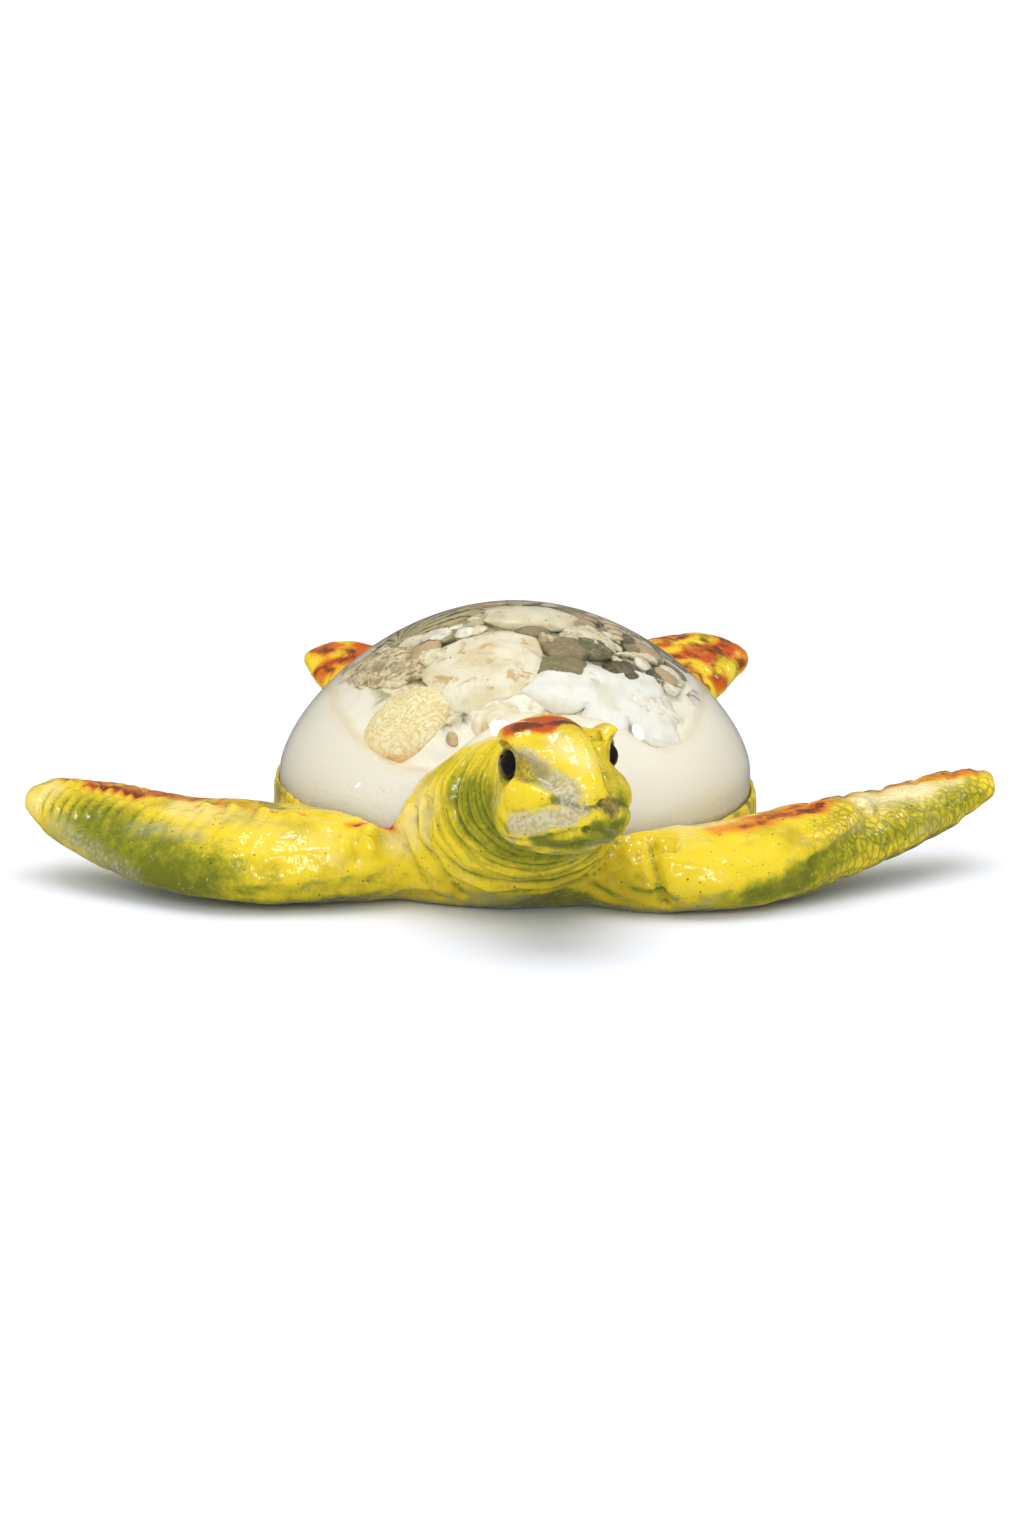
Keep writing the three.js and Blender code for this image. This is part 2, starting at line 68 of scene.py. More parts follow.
camera = add_object("camera", bpy.data.cameras.new("camera"))
camera.data.sensor_width = SENSOR_WIDTH
camera.data.lens = SENSOR_WIDTH * PIXELS_PER_MM * CAMERA_DISTANCE / PICTURE_HEIGHT
back = Vector((0, -math.cos(CAMERA_ANGLE), math.sin(CAMERA_ANGLE)))
camera.location = (LOOKED_AT + back * CAMERA_DISTANCE) * MM
camera.rotation_euler = (math.pi / 2 - CAMERA_ANGLE, 0, 0)
bpy.context.scene.camera = camera
print("lens", round(camera.data.lens, 1), "mm")

# %% [markdown]
# ## The studio
# A product table: a white floor out to the horizon, a white sky for even light, a big softbox
# overhead that makes the soft shadow and one in front that fills it. Windows put their reflections on
# the glaze and light nothing else. Glossy things would turn pale under a white sky, so the sky is
# dimmer in reflections, and neither the softboxes nor the floor are seen in them.

# %% Floor, sky and lamps
FLOOR_SIZE = 400_000
FLOOR_COLOUR = (0.86, 0.88, 0.95, 1)
SKY_LIGHT = 0.74
SKY_IN_REFLECTIONS = 0.16
# Name, angle across in degrees, turns in degrees, power.
SOFTBOXES = [
    ("overhead_softbox", 62, (-8, 3, 0), 1.42),
    ("front_softbox", 40, (56, -14, 0), 0.68),
]
# Name, place, size, power. All face the dome.
WINDOWS = [
    ("front_window", (60, -700, 520), (230, 70), 1.15),
    ("top_window", (-60, -60, 900), (200, 120), 2),
    ("side_window", (620, 260, 700), (100, 70), 0.8),
    ("left_window", (-660, 60, 300), (20, 60), 0.1),
]
WINDOWS_FACE = Vector((0, 0, 20))


def primitive(kind, **settings):
    bpy.ops.object.select_all(action="DESELECT")
    getattr(bpy.ops.mesh, f"primitive_{kind}_add")(**settings)
    return bpy.context.object


def new_material(name, **sockets):
    """A material with its shader's sockets set to numbers that are the same all over."""
    material = bpy.data.materials.new(name)
    material.use_nodes = True
    for socket, value in sockets.items():
        shader = material.node_tree.nodes["Principled BSDF"]
        shader.inputs[socket.replace("_", " ")].default_value = value
    return material


def add_node(tree, kind, inputs=None, **settings):
    """A shader node. Its inputs are set to numbers, or linked to other nodes' sockets."""
    made = tree.nodes.new("ShaderNode" + kind)
    for name, value in settings.items():
        setattr(made, name, value)
    for socket, value in (inputs or {}).items():
        if isinstance(value, bpy.types.NodeSocket):
            tree.links.new(value, made.inputs[socket])
        else:
            made.inputs[socket].default_value = value
    return made


floor = primitive("plane", size=FLOOR_SIZE * MM)
floor.name = "studio_floor"
floor_paint = new_material("floor_paint", Base_Color=FLOOR_COLOUR, Roughness=0.9, Specular_IOR_Level=0)
floor.data.materials.append(floor_paint)
floor.visible_glossy = False

# A ray that has gone through the resin counts as glossy too, but should see the full sky.
sky = bpy.data.worlds.new("studio_sky")
sky.use_nodes = True
ray = add_node(sky.node_tree, "LightPath").outputs
reflected = add_node(sky.node_tree, "Math", {0: ray["Is Glossy Ray"], 1: ray["Is Transmission Ray"]},
                     operation="SUBTRACT", use_clamp=True)
strength = add_node(sky.node_tree, "MapRange", {
    "Value": reflected.outputs[0], "To Min": SKY_LIGHT, "To Max": SKY_IN_REFLECTIONS})
background = sky.node_tree.nodes["Background"].inputs
background["Color"].default_value = (1, 1, 1, 1)
sky.node_tree.links.new(strength.outputs["Result"], background["Strength"])
bpy.context.scene.world = sky

for name, angle, turns, power in SOFTBOXES:
    lamp = add_object(name, bpy.data.lights.new(name, "SUN"))
    lamp.data.energy, lamp.data.angle = power, math.radians(angle)
    lamp.rotation_euler = [math.radians(turn) for turn in turns]
    lamp.visible_glossy = False
for name, place, size, power in WINDOWS:
    lamp = add_object(name, bpy.data.lights.new(name, "AREA"))
    lamp.data.energy, lamp.data.shape = power, "ELLIPSE"
    lamp.data.size, lamp.data.size_y = size[0] * MM, size[1] * MM
    lamp.location = Vector(place) * MM
    lamp.rotation_euler = (WINDOWS_FACE - Vector(place)).to_track_quat("-Z", "Y").to_euler()
    lamp.visible_diffuse = lamp.visible_transmission = False
bpy.context.scene.view_settings.view_transform = "Standard"

# %% [markdown]
# ## Tools for shaping
# The painted body is sculpted: it starts as a fine copy of the CAD casting, and then points are
# moved as a sculptor's brushes would move clay. These helpers hold a mesh's points in millimetres.
# A stroke is a soft brush along a line: its reach, then its height or strength, then its points.

# %% Mesh helpers
WELD = 0.01
# Forward, then back a little further, so that nothing shrinks.
RELAX_STEPS = (0.6, -0.61)


def choose(*pieces):
    """Selects pieces and makes the first one active."""
    bpy.ops.object.select_all(action="DESELECT")
    for piece in pieces:
        piece.select_set(True)
    bpy.context.view_layer.objects.active = pieces[0]


def mode(name):
    bpy.ops.object.mode_set(mode=name)


def edit_faces(piece, chosen, tool, **settings):
    """Runs one edit tool on the chosen faces."""
    choose(piece)
    mode("EDIT")
    bpy.ops.mesh.select_all(action="DESELECT")
    mode("OBJECT")
    piece.data.polygons.foreach_set("select", chosen)
    mode("EDIT")
    bpy.ops.mesh.select_mode(type="FACE")
    tool(**settings)
    mode("OBJECT")


def subdivide(piece, chosen):
    edit_faces(piece, chosen, bpy.ops.mesh.subdivide, number_cuts=1)


def remesh(piece, voxel):
    choose(piece)
    piece.data.remesh_voxel_size = voxel
    bpy.ops.object.voxel_remesh()


def copy_of_node(node, name):
    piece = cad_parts[node].copy()
    piece.data = piece.data.copy()
    piece.name = name
    piece.parent = None
    piece.matrix_world = Matrix.Identity(4)
    bpy.context.scene.collection.objects.link(piece)
    choose(piece)
    mode("EDIT")
    bpy.ops.mesh.select_all(action="SELECT")
    bpy.ops.mesh.remove_doubles(threshold=WELD * MM)
    mode("OBJECT")
    piece.data.materials.clear()
    return piece


def vectors(rows, kind):
    flat = np.empty(len(rows) * 3)
    rows.foreach_get(kind, flat)
    return flat.reshape(-1, 3)


def points_of(piece):
    return vectors(piece.data.vertices, "co") / MM


def normals_of(piece):
    return vectors(piece.data.vertex_normals, "vector")


def face_centres(piece):
    return vectors(piece.data.polygons, "center") / MM


def triangles(piece):
    return sum(len(face.vertices) - 2 for face in piece.data.polygons)


def set_points(piece, points):
    piece.data.vertices.foreach_set("co", (points * MM).ravel())
    piece.data.update()


def swell(piece, height):
    """Moves each point out along its normal."""
    set_points(piece, points_of(piece) + normals_of(piece) * height[:, None])


def edges_of(piece):
    """The two ends of each edge, and how many edges meet at each point."""
    ends = np.empty(len(piece.data.edges) * 2, dtype=int)
    piece.data.edges.foreach_get("vertices", ends)
    return ends[0::2], ends[1::2], np.bincount(ends, minlength=len(piece.data.vertices))


def neighbours_mean(edges, values):
    a, b, count = edges
    return (np.bincount(a, values[b], len(count)) + np.bincount(b, values[a], len(count))) / count


def relax(piece, rounds, where=1):
    """Evens out facets by moving each point toward the middle of its neighbours."""
    points = points_of(piece)
    edges = edges_of(piece)
    for step in RELAX_STEPS * rounds:
        mean = np.stack([neighbours_mean(edges, points[:, axis]) for axis in range(3)], axis=1)
        points += np.reshape(step * where, (-1, 1)) * (mean - points)
    set_points(piece, points)


def near_line(points, line, reach):
    """A soft brush along a line of points: 1 on the line and 0 at its reach."""
    line = np.array(line, dtype=float)
    closest = np.full(len(points), 1e9)
    for start, end in zip(line[:-1], line[1:]):
        step = end - start
        along = np.clip((points - start) @ step / (step @ step), 0, 1)
        gap = np.linalg.norm(points - start - along[:, None] * step, axis=1)
        closest = np.minimum(closest, gap)
    return np.clip(1 - (closest / reach) ** 2, 0, 1) ** 2


def ramp(values, low, high):
    """0 at low and 1 at high, with soft ends."""
    share = np.clip((values - low) / (high - low), 0, 1)
    return share * share * (3 - 2 * share)


def set_attributes(piece, **named):
    """Stores one number on each point under each name, for the materials."""
    for name, values in named.items():
        attribute = piece.data.attributes.new(name, "FLOAT", "POINT")
        attribute.data.foreach_set("value", np.ascontiguousarray(values, dtype=np.float32))


print("helpers ready")

# %% [markdown]
# ## The painted casting: first form
# The CAD casting has flat facets and a hollow seat for the dome. The copy gets the seat filled, a
# skin of even square faces from a voxel remesh, and is relaxed until the facets are gone. The seat is
# cut again at the end, when the surface is fine. The hidden floor of the seat and the belly need few
# faces, and the head and neck need many.

# %% Fill the seat and remesh
DOME_CENTRE_X = 0.6
DOME_HALF_WIDTH = 48.4
DOME_HALF_LENGTH = 58
DOME_TOP = 50.6
DOME_FOOT = 11.5
DOME_SHOULDER = 16.5
RIM_HEIGHT = 14.4
RIM_SLOPE = -0.035
PLUG_FOOT = 4
PLUG_MARGIN = 0.8
BODY_VOXEL = 1
KEPT_WHERE_HIDDEN = 0.08

turtle = copy_of_node("turtle_body", "painted_turtle")
plug = primitive("cylinder", vertices=64, radius=1, depth=1)
x, y, z = (points_of(plug) * MM).T
set_points(plug, np.stack([
    DOME_CENTRE_X + x * (DOME_HALF_WIDTH + PLUG_MARGIN),
    y * (DOME_HALF_LENGTH + PLUG_MARGIN),
    np.where(z > 0, RIM_HEIGHT + RIM_SLOPE * x * DOME_HALF_WIDTH, PLUG_FOOT),
], axis=1))
choose(turtle, plug)
bpy.ops.object.join()
remesh(turtle, BODY_VOXEL * MM)
relax(turtle, 30)
print("first form", len(turtle.data.polygons), "faces")

# %% Faces where they are needed
HEAD_CENTRE = np.array([7.8, -76, 30.7])
HEAD_YAW = math.radians(20)
HEAD_ROLL = math.radians(3)
head_turn = np.array(Matrix.Rotation(HEAD_YAW, 3, "Z") @ Matrix.Rotation(HEAD_ROLL, 3, "Y"))


def head_view(points):
    """Side, forward and up in the head's own frame."""
    local = (points - HEAD_CENTRE) @ head_turn
    return np.stack([local[:, 0], -local[:, 1], local[:, 2]], axis=1)


def head_place(side, forward, up):
    return HEAD_CENTRE + head_turn @ np.array([side, -forward, up])


x, y, z = face_centres(turtle).T
across = (x - DOME_CENTRE_X) / (DOME_HALF_WIDTH - 3)
in_seat = across * across + (y / (DOME_HALF_LENGTH - 3)) ** 2 < 1
on_top = np.abs(z - (RIM_HEIGHT + RIM_SLOPE * x)) < 0.6
edit_faces(turtle, in_seat & (on_top | (z < 0.5)), bpy.ops.mesh.decimate, ratio=KEPT_WHERE_HIDDEN)
x, y, z = face_centres(turtle).T
subdivide(turtle, (y < -46) & (np.abs(x - 2) < 26))
centres = face_centres(turtle)
subdivide(turtle, (head_view(centres)[:, 1] > 0) & (centres[:, 1] < -74))
relax(turtle, 8, ramp(-points_of(turtle)[:, 1], 44, 50))
print("refined", triangles(turtle), "triangles")

# %% [markdown]
# ## The head
# A sea turtle's head is boxy: a broad forehead that ends in a brow over each eye, a bony ridge down to
# the nose, hollows before the eyes, full cheeks and a beak with a pale worn lip. Strokes are given in
# the head's own frame as side, forward and up, and say which side of the head they are drawn on. The
# two sides differ a little, as hand work does.

# %% Brushes on the head
BOTH, RIGHT, LEFT = (-1, 1), (-1,), (1,)
# Which side, reach, height, then side, forward and up of each point.
HEAD_STROKES = [
    (LEFT, 5, 1.25, [(0.2, 5, 10.8), (0.3, 9.6, 8.4), (0.3, 12.6, 5.8), (0.3, 15.6, 3.2),
                     (0.2, 17.4, 1.6)]),
    (LEFT, 2.4, 0.75, [(0, 18, 1), (-0.2, 18.6, 0.2)]),
    (RIGHT, 5.5, 1.5, [(7, -3, 10), (7.2, 1, 10), (6.4, 4.6, 9.4)]),
    (RIGHT, 2.6, 0.75, [(10.2, -2, 8.6), (10.8, 1.6, 9.2), (10.2, 4.6, 8.8)]),
    (RIGHT, 2.2, 0.6, [(9.8, 6, 7.6), (8.2, 8.4, 6.8), (6.2, 10.6, 6.2)]),
    (RIGHT, 3.6, -1.3, [(9.2, 9.2, 4.2), (7.8, 11.8, 3.6), (6, 13.8, 2.8)]),
    (LEFT, 2.7, 1.3, [(9.4, -3, 8.6), (10, 0, 9.6), (9.6, 3.4, 9.8)]),
    (LEFT, 2.3, -1.5, [(5, 0.5, 11), (5.4, 4, 10.2), (5.4, 7.6, 8.4), (5.6, 10.6, 6), (5.6, 13, 3.6),
                       (5.2, 15.4, 1.4)]),
    (LEFT, 4, -0.8, [(7.6, 10, 5), (7.4, 12.6, 2.4)]),
    (LEFT, 3.2, -1.3, [(10.8, 5.4, 5.4), (10.6, 7.4, 3.6), (10.8, 6.6, 2)]),
    (BOTH, 5, 0.6, [(10.8, 9, -1), (9.6, 12, -0.4)]),
    (LEFT, 6, -1.1, [(12.4, 8, -1), (12.4, 3, -3), (11.8, 5, 1)]),
    (BOTH, 5, -0.5, [(12.8, 1.5, -2), (12.6, -3, -1)]),
    (BOTH, 1.2, -0.5, [(12, 8.2, -3.6), (10.4, 12.4, -3), (8, 15.2, -1.5), (5.2, 17.2, -0.3),
                       (2.6, 18.1, -0.8), (0, 18.7, -1.4)]),
    (BOTH, 2, 0.4, [(11.4, 9.9, -5.4), (9.6, 13.6, -4.2), (6.7, 16.3, -2.9), (3.4, 17.7, -2.6),
                    (0, 18.2, -3.2)]),
    (BOTH, 1.2, -0.55, [(0, 17.6, -5.6), (3, 17.4, -5.8), (6, 15.6, -6.8), (8.6, 12, -8.2),
                        (10.4, 7, -9.6)]),
    (BOTH, 2, -0.6, [(0, 15.6, -9), (4.7, 13.6, -9.8), (7.5, 8.3, -11.4), (9, 2, -11.8), (10, -4, -10.6)]),
    (RIGHT, 0.9, -0.9, [(2.3, 17.9, 0.6), (2.8, 17.8, 0.5)]),
    (LEFT, 1.1, -1.1, [(1.9, 18, -0.2), (2.8, 17.9, -0.6)]),
    (LEFT, 1.2, -0.8, [(3.8, 17.8, -1.8), (5.2, 17.2, -3)]),
]


def press(piece, strokes):
    """Raises the clay along lines, or presses grooves where the height is negative."""
    for reach, height, line in strokes:
        swell(piece, height * near_line(points_of(piece), line, reach))


for turns, reach, height, line in HEAD_STROKES:
    for turn in turns:
        press(turtle, [(reach, height, [head_place(turn * side, *rest) for side, *rest in line])])
print("head strokes", len(HEAD_STROKES))

# %% [markdown]
# ## The eyes' openings
# Each eye is a black bead in a round opening that looks sideways and a little forward. The skin
# round it is brought to one level, with a thin raised lid, and sinks behind the bead inside. The left
# eye looks further forward and stands a little higher than the right one, as painted by hand.

# %% Eye openings
EYE_RADIUS = 3
OPENING_HEIGHT = 1.3
LID_RADIUS = 3.15
LID_HEIGHT = 0.7
LID_WIDTH = 0.5
SINK = 2.6
BEHIND_EYE = -1.5
# Side: middle of the bead in the head's frame, and the way it looks.
EYES = {
    -1: ((-8.8, 3, 3.75), (-1, -0.2, 0.06)),
    1: ((8.2, 3.4, 5.2), (0.86, -0.5, 0.06)),
}


def bump(values, width):
    return np.exp(-((values / width) ** 2))


def eye_axes(turn):
    middle, looks = EYES[turn]
    axis = head_turn @ np.array(looks)
    return head_place(*middle), axis / np.linalg.norm(axis)


def from_eye(points, turn):
    """Height over an eye's middle along the way it looks, and distance from that axis."""
    centre, axis = eye_axes(turn)
    height = (points - centre) @ axis
    return height, np.linalg.norm(points - centre - height[:, None] * axis, axis=1)


points = points_of(turtle)
for turn in EYES:
    height, radius = from_eye(points, turn)
    lid = LID_HEIGHT * bump(radius - LID_RADIUS, LID_WIDTH)
    target = OPENING_HEIGHT + lid - SINK * (1 - ramp(radius, 2.2, 2.9))
    blend = (1 - ramp(radius, 3.4, 5)) * (height > BEHIND_EYE)
    points += ((target - height) * blend)[:, None] * eye_axes(turn)[1]
set_points(turtle, points)
print("eye openings", [np.round(eye_axes(turn)[0], 1) for turn in EYES])

# %% [markdown]
# ## The folds of the neck
# The neck is pulled back into loose skin, so folds run round it like rings, fine beside the jaw and
# broad by the shoulders. Each point's share of the way along the neck says between which creases it
# lies. Real folds aren't even, so slow waves shift every crease and change its depth round the neck.

# %% Neck folds
# The middle of a ring through the neck in X, Y and Z, and its lean back in degrees.
NECK = np.array([
    [-1, -34, 9, 0], [-2.6, -43, 10.5, 6], [-1.4, -50, 15, 14], [1.6, -57, 20.2, 24],
    [5, -63.5, 24.6, 28], [7.4, -70, 28, 22], [8.2, -75, 30, 10],
])
NECK_LENGTH = 56
NECK_RINGS = 201
NECK_FRONT = -86
# Each crease's share of the way along the neck, its depth and its width.
CREASES = [
    (0.33, 0.6, 1.4), (0.401, 1, 1.4), (0.462, 1.8, 1.4), (0.521, 2.3, 1.3), (0.562, 1.6, 1),
    (0.598, 1.9, 1.05), (0.63, 1, 0.75), (0.66, 1.4, 0.85), (0.694, 0.95, 0.65), (0.722, 1.1, 0.7),
    (0.752, 0.7, 0.55), (0.778, 0.85, 0.6), (0.81, 0.55, 0.5), (0.84, 0.65, 0.55), (0.875, 0.4, 0.5),
]


def along_neck(points):
    """The share of the way along the neck, from the closest of many rings."""
    shares = np.linspace(0, 1, NECK_RINGS)
    steps = range(len(NECK))
    rows = np.stack([np.interp(shares * (len(NECK) - 1), steps, NECK[:, i]) for i in range(4)], 1)
    lean = np.radians(rows[:, 3])
    facing = np.stack([0 * lean, -np.cos(lean), np.sin(lean)], axis=1)
    offsets = points @ facing.T - np.sum(rows[:, :3] * facing, axis=1)
    closest = np.abs(offsets).argmin(axis=1)
    step = np.clip(offsets[range(len(points)), closest] / NECK_LENGTH, -0.003, 0.003)
    return shares[closest] + step


def wander(points, scale, seed):
    """Slow waves through space, between -1 and 1, for shapes that aren't too regular."""
    x, y, z = (points / scale).T
    wave = np.sin(x + 1.7 * y + seed) + np.sin(1.3 * z - 0.8 * x + 2 * seed)
    return (wave + np.sin(y - 1.6 * z + 3 * seed)) / 3


def seat_distance(points):
    """Roughly how far a point lies outside the outline of the dome's seat."""
    x = (points[:, 0] - DOME_CENTRE_X) / DOME_HALF_WIDTH
    return (np.hypot(x, points[:, 1] / DOME_HALF_LENGTH) - 1) * DOME_HALF_LENGTH


def neck_share(points, half_width, neck_back):
    """The share along the neck for points on it, and 0 for all others."""
    x, y, z = points.T
    on_neck = (np.abs(x - 2) < half_width) & (y < neck_back) & (y > NECK_FRONT)
    share = np.zeros(len(points))
    share[on_neck] = along_neck(points[on_neck])
    return share, on_neck


def crease_depths(points):
    """How deep each point lies in a neck crease, in millimetres. The skin swells beside each."""
    share, on_neck = neck_share(points, 30, -44)
    share += 0.011 * wander(points, 7, 2) + 0.004 * wander(points, 2.4, 6)
    depth = np.zeros(len(points))
    for i, (middle, deep, wide) in enumerate(CREASES):
        away = (share - middle) * NECK_LENGTH / wide
        strength = 0.7 + 0.5 * wander(points, 8, i)
        depth += deep * strength * (bump(away, 1) - 0.4 * bump(np.abs(away) - 1.7, 0.8))
    seen = head_view(points)
    off_head = 1 - ramp(seen[:, 1], -9, -3) * ramp(seen[:, 2], -14.5, -11)
    on_skin = ramp(seat_distance(points), 0.5, 4) * ramp(points[:, 2], 1, 5)
    return depth * on_neck * off_head * on_skin * ramp(share, 0.28, 0.36) * (1 - ramp(share, 0.88, 0.95))


swell(turtle, -crease_depths(points_of(turtle)))
print("neck creases", len(CREASES))

# %% [markdown]
# ## Shoulders and flippers
# Skin bunches up where the flippers leave the body, so the shoulders get deep creases and round
# bulges. The leading edge of each front flipper is scalloped between soft flutes, and on the left
# flipper the skin of the arm ends in a fold that lies over the blade. The trunk is a little lumpy.

# %% Creases, bulges and flutes
# Reach, height, then X, Y and Z of each point.
SKIN_STROKES = [
    (1.8, -0.5, [(-20.6, -54.4, 12.6), (-18.8, -54.7, 8.7), (-14.2, -54, 2.9)]),
    (2, -1, [(-16.4, -57.4, 22.3), (-16.8, -58.9, 17.1), (-14.7, -59.8, 11.2), (-10.1, -56.6, 4)]),
    (3, 0.5, [(-19, -56, 16), (-17.6, -56.6, 10), (-13, -56, 4)]),
    (1.8, -1.3, [(26.6, -54.8, 14.6), (27, -57.6, 12.7), (27.3, -60.7, 10.2), (28.3, -62.1, 7),
                 (29.4, -60.7, 2.6)]),
    (3, 0.6, [(30, -56, 14), (30.4, -60, 11.4), (31.4, -62.6, 7.4), (32, -61.4, 4)]),
    (1.5, -0.6, [(28.2, -62, 7), (25.6, -61.8, 7.6), (23.6, -60.6, 8.4)]),
    (1.9, -0.8, [(19.8, -55.3, 13.6), (17.4, -58.7, 10.8), (13.2, -57.8, 7), (7.7, -60.8, 5.6),
                 (2.5, -61.9, 5.2), (-2.3, -63.4, 6.6)]),
    (1.6, -0.6, [(20.7, -56.4, 13.1), (19.1, -59.3, 10.2), (16.3, -60.3, 6.6)]),
    (2.6, 0.5, [(23.4, -56.6, 12.6), (21.6, -60, 9.6), (19, -61.4, 6)]),
    (1.5, -0.5, [(24.6, -55.8, 13.6), (24.4, -58.6, 11.4)]),
    (3, 1.1, [(-28, -51.4, 15), (-24.6, -52.4, 15.6), (-22, -53.4, 16.6), (-20.6, -54, 19)]),
    (2.8, 1.4, [(-32.8, -54.4, 15.4), (-32.8, -55.6, 11.8)]),
    (2.6, 1.4, [(-27.8, -53, 15.4), (-28, -54.4, 11.8)]),
    (2.6, 1.3, [(-43.2, -46.4, 16.6), (-41.6, -48.4, 15.4)]),
    (2.2, 1.1, [(-49, -43.6, 16.6), (-48.6, -46, 15)]),
    (2.2, 1.1, [(-55, -39.8, 17), (-54.6, -42.8, 15.4)]),
    (2.2, 1.1, [(-60.6, -36.8, 17), (-60.2, -39.6, 15.2)]),
    (1.5, -0.6, [(-30.3, -53.6, 15.6), (-30.4, -55.6, 11.6), (-30.4, -55.4, 7.5)]),
    (1.5, -0.5, [(-35.4, -53, 15.6), (-35.6, -55.4, 11.6), (-35.6, -55.6, 7.5)]),
    (2.4, 0.5, [(-39.5, -48.3, 16.6), (-39.8, -51, 15)]),
    (3, 0.9, [(61, -37.6, 17.4), (65.6, -38.6, 16.4), (66.4, -41, 15), (64, -45.4, 13.8),
              (60, -49.4, 12.4), (55.6, -53, 10.8)]),
    (2.6, -1.3, [(68.6, -33.8, 17.4), (71.2, -36.4, 16.4), (70.8, -41.2, 14.4), (68.4, -45.6, 13),
                 (64.4, -50, 11.6), (59.6, -54, 9.6)]),
]
DEEP_CREASE = -0.55
CREASE_REGION = 3.4
LEFT_NOTCHES = (60.6, 66.6, 73.4, 80.4, 88, 93)
NOTCH_DEPTH = 0.6
NOTCH_WIDTH = 0.8
RIGHT_FLUTES = (-78, -75.6, -73.3, -71, -68.4, -65.7, -63, -60.4, -56.6, -52.5, -48.4, -44.4, -41, -36.8,
                -32.6, -29, -25.4)
FLUTE_DEPTH = 0.62
FLUTE_WIDTH = 0.8
BETWEEN_FLUTES = 0.3


def from_flutes(points, flutes):
    """How far each point lies from each groove, along the right flipper's leading edge."""
    along = 0.94 * points[:, 0] - 0.35 * points[:, 1]
    return [along - flute - 0.4 * wander(points, 4, 2) for flute in flutes]


centres = face_centres(turtle)
x, y, z = centres.T
deep = [line for reach, height, line in SKIN_STROKES if height < DEEP_CREASE]
creased = np.max([near_line(centres, line, CREASE_REGION) for line in deep], axis=0) > 0
creased &= (y > -62.5) & ((x > 26) | (x < -23))
subdivide(turtle, creased | (x < -44) & (y < -14) & (z > 9.5) & (y > -50))
press(turtle, SKIN_STROKES)

points, normals = points_of(turtle), normals_of(turtle)
x, y, z = points.T
height = np.zeros(len(points))
on_edge = ramp(normals[:, 2], 0, 0.6) * (y > -36) * ramp(z, 13, 15)
for notch in LEFT_NOTCHES:
    height -= NOTCH_DEPTH * bump(x - notch - 0.12 * y - 3, NOTCH_WIDTH) * on_edge
on_edge = ramp(-normals[:, 1], -0.4, 0.4) * ramp(z, 11.5, 15.5) * (0.75 + 0.4 * wander(points, 6, 5))
on_edge *= (x < -30) * (y < -14) * (0.5 + 0.5 * ramp(-x, 66, 74))
for away in from_flutes(points, RIGHT_FLUTES):
    ridge = BETWEEN_FLUTES * bump(np.abs(away) - 1.3, 0.75)
    height += (ridge - FLUTE_DEPTH * bump(away, FLUTE_WIDTH)) * on_edge
lumps = 0.06 * wander(points, 0.8, 3) + 0.24 * wander(points, 1.7, 4) + 0.34 * wander(points, 3.6, 8)
trunk = ramp(-z, -40, -28) * (1 - ramp(-y, 66, 74)) * ramp(seat_distance(points), 0, 3)
swell(turtle, height + trunk * lumps)
print("skin strokes", len(SKIN_STROKES), "triangles", triangles(turtle))

# %% [markdown]
# ## The clear resin dome
# The dome is solid clear resin, cast over the shells, so it is one closed body with a thin gap round
# it in its seat. Half a sphere has the right faces, and its rings are moved to the profile of the cap:
# level on top, then round, then nearly upright. A short skirt is extruded down into the seat.

# %% Dome shape
CAP_TOP_PULL = 0.56
CAP_SIDE_PULL = 0.3
# The skirt's steps: how far down each goes, and how much it narrows.
SKIRT = ((0.5, 1), (0.4, 1), (0.1, 0.985), (0, 0.96))


def cap_profile(share):
    """How far out and how high the cap is, from its top (0) to its shoulder (1)."""
    t, s = share, 1 - share
    out = 3 * s * s * t * CAP_TOP_PULL + 3 * s * t * t + t**3
    high = s**3 + 3 * s * s * t + 3 * s * t * t * CAP_SIDE_PULL
    return out, high


def cap_shape(piece, inset, foot):
    """Shapes half a unit sphere with a skirt to the dome's form, taken in all round by inset."""
    x, y, z = (points_of(piece) * MM).T
    out, high = cap_profile(np.arccos(np.clip(z, 0, 1)) / (math.pi / 2))
    turn = np.arctan2(y, x)
    skirt = z < -0.001
    radius = np.where(skirt, np.hypot(x, y), out)
    set_points(piece, np.stack([
        DOME_CENTRE_X + np.cos(turn) * radius * (DOME_HALF_WIDTH - inset),
        np.sin(turn) * radius * (DOME_HALF_LENGTH - inset),
        np.where(skirt, foot + (1 + z) * (DOME_SHOULDER - foot),
                 DOME_SHOULDER + high * (DOME_TOP - DOME_SHOULDER - inset)),
    ], axis=1))


def half_ball(name, around, rings):
    """Half a unit sphere with a skirt one unit deep and a flat bottom."""
    ball = primitive("uv_sphere", segments=around, ring_count=rings, radius=1)
    ball.name = name
    mode("EDIT")
    bpy.ops.mesh.select_mode(type="VERT")
    bpy.ops.mesh.select_all(action="SELECT")
    bpy.ops.mesh.bisect(plane_co=(0, 0, 0), plane_no=(0, 0, 1), clear_inner=True)
    bpy.ops.mesh.select_all(action="DESELECT")
    bpy.ops.mesh.select_non_manifold()
    for drop, narrow in SKIRT:
        bpy.ops.mesh.extrude_edges_move(TRANSFORM_OT_translate={"value": (0, 0, -drop)})
        bpy.ops.transform.resize(value=(narrow, narrow, 1), center_override=(0, 0, 0))
    bpy.ops.mesh.edge_face_add()
    bpy.ops.mesh.select_all(action="SELECT")
    bpy.ops.mesh.normals_make_consistent(inside=False)
    mode("OBJECT")
    return ball


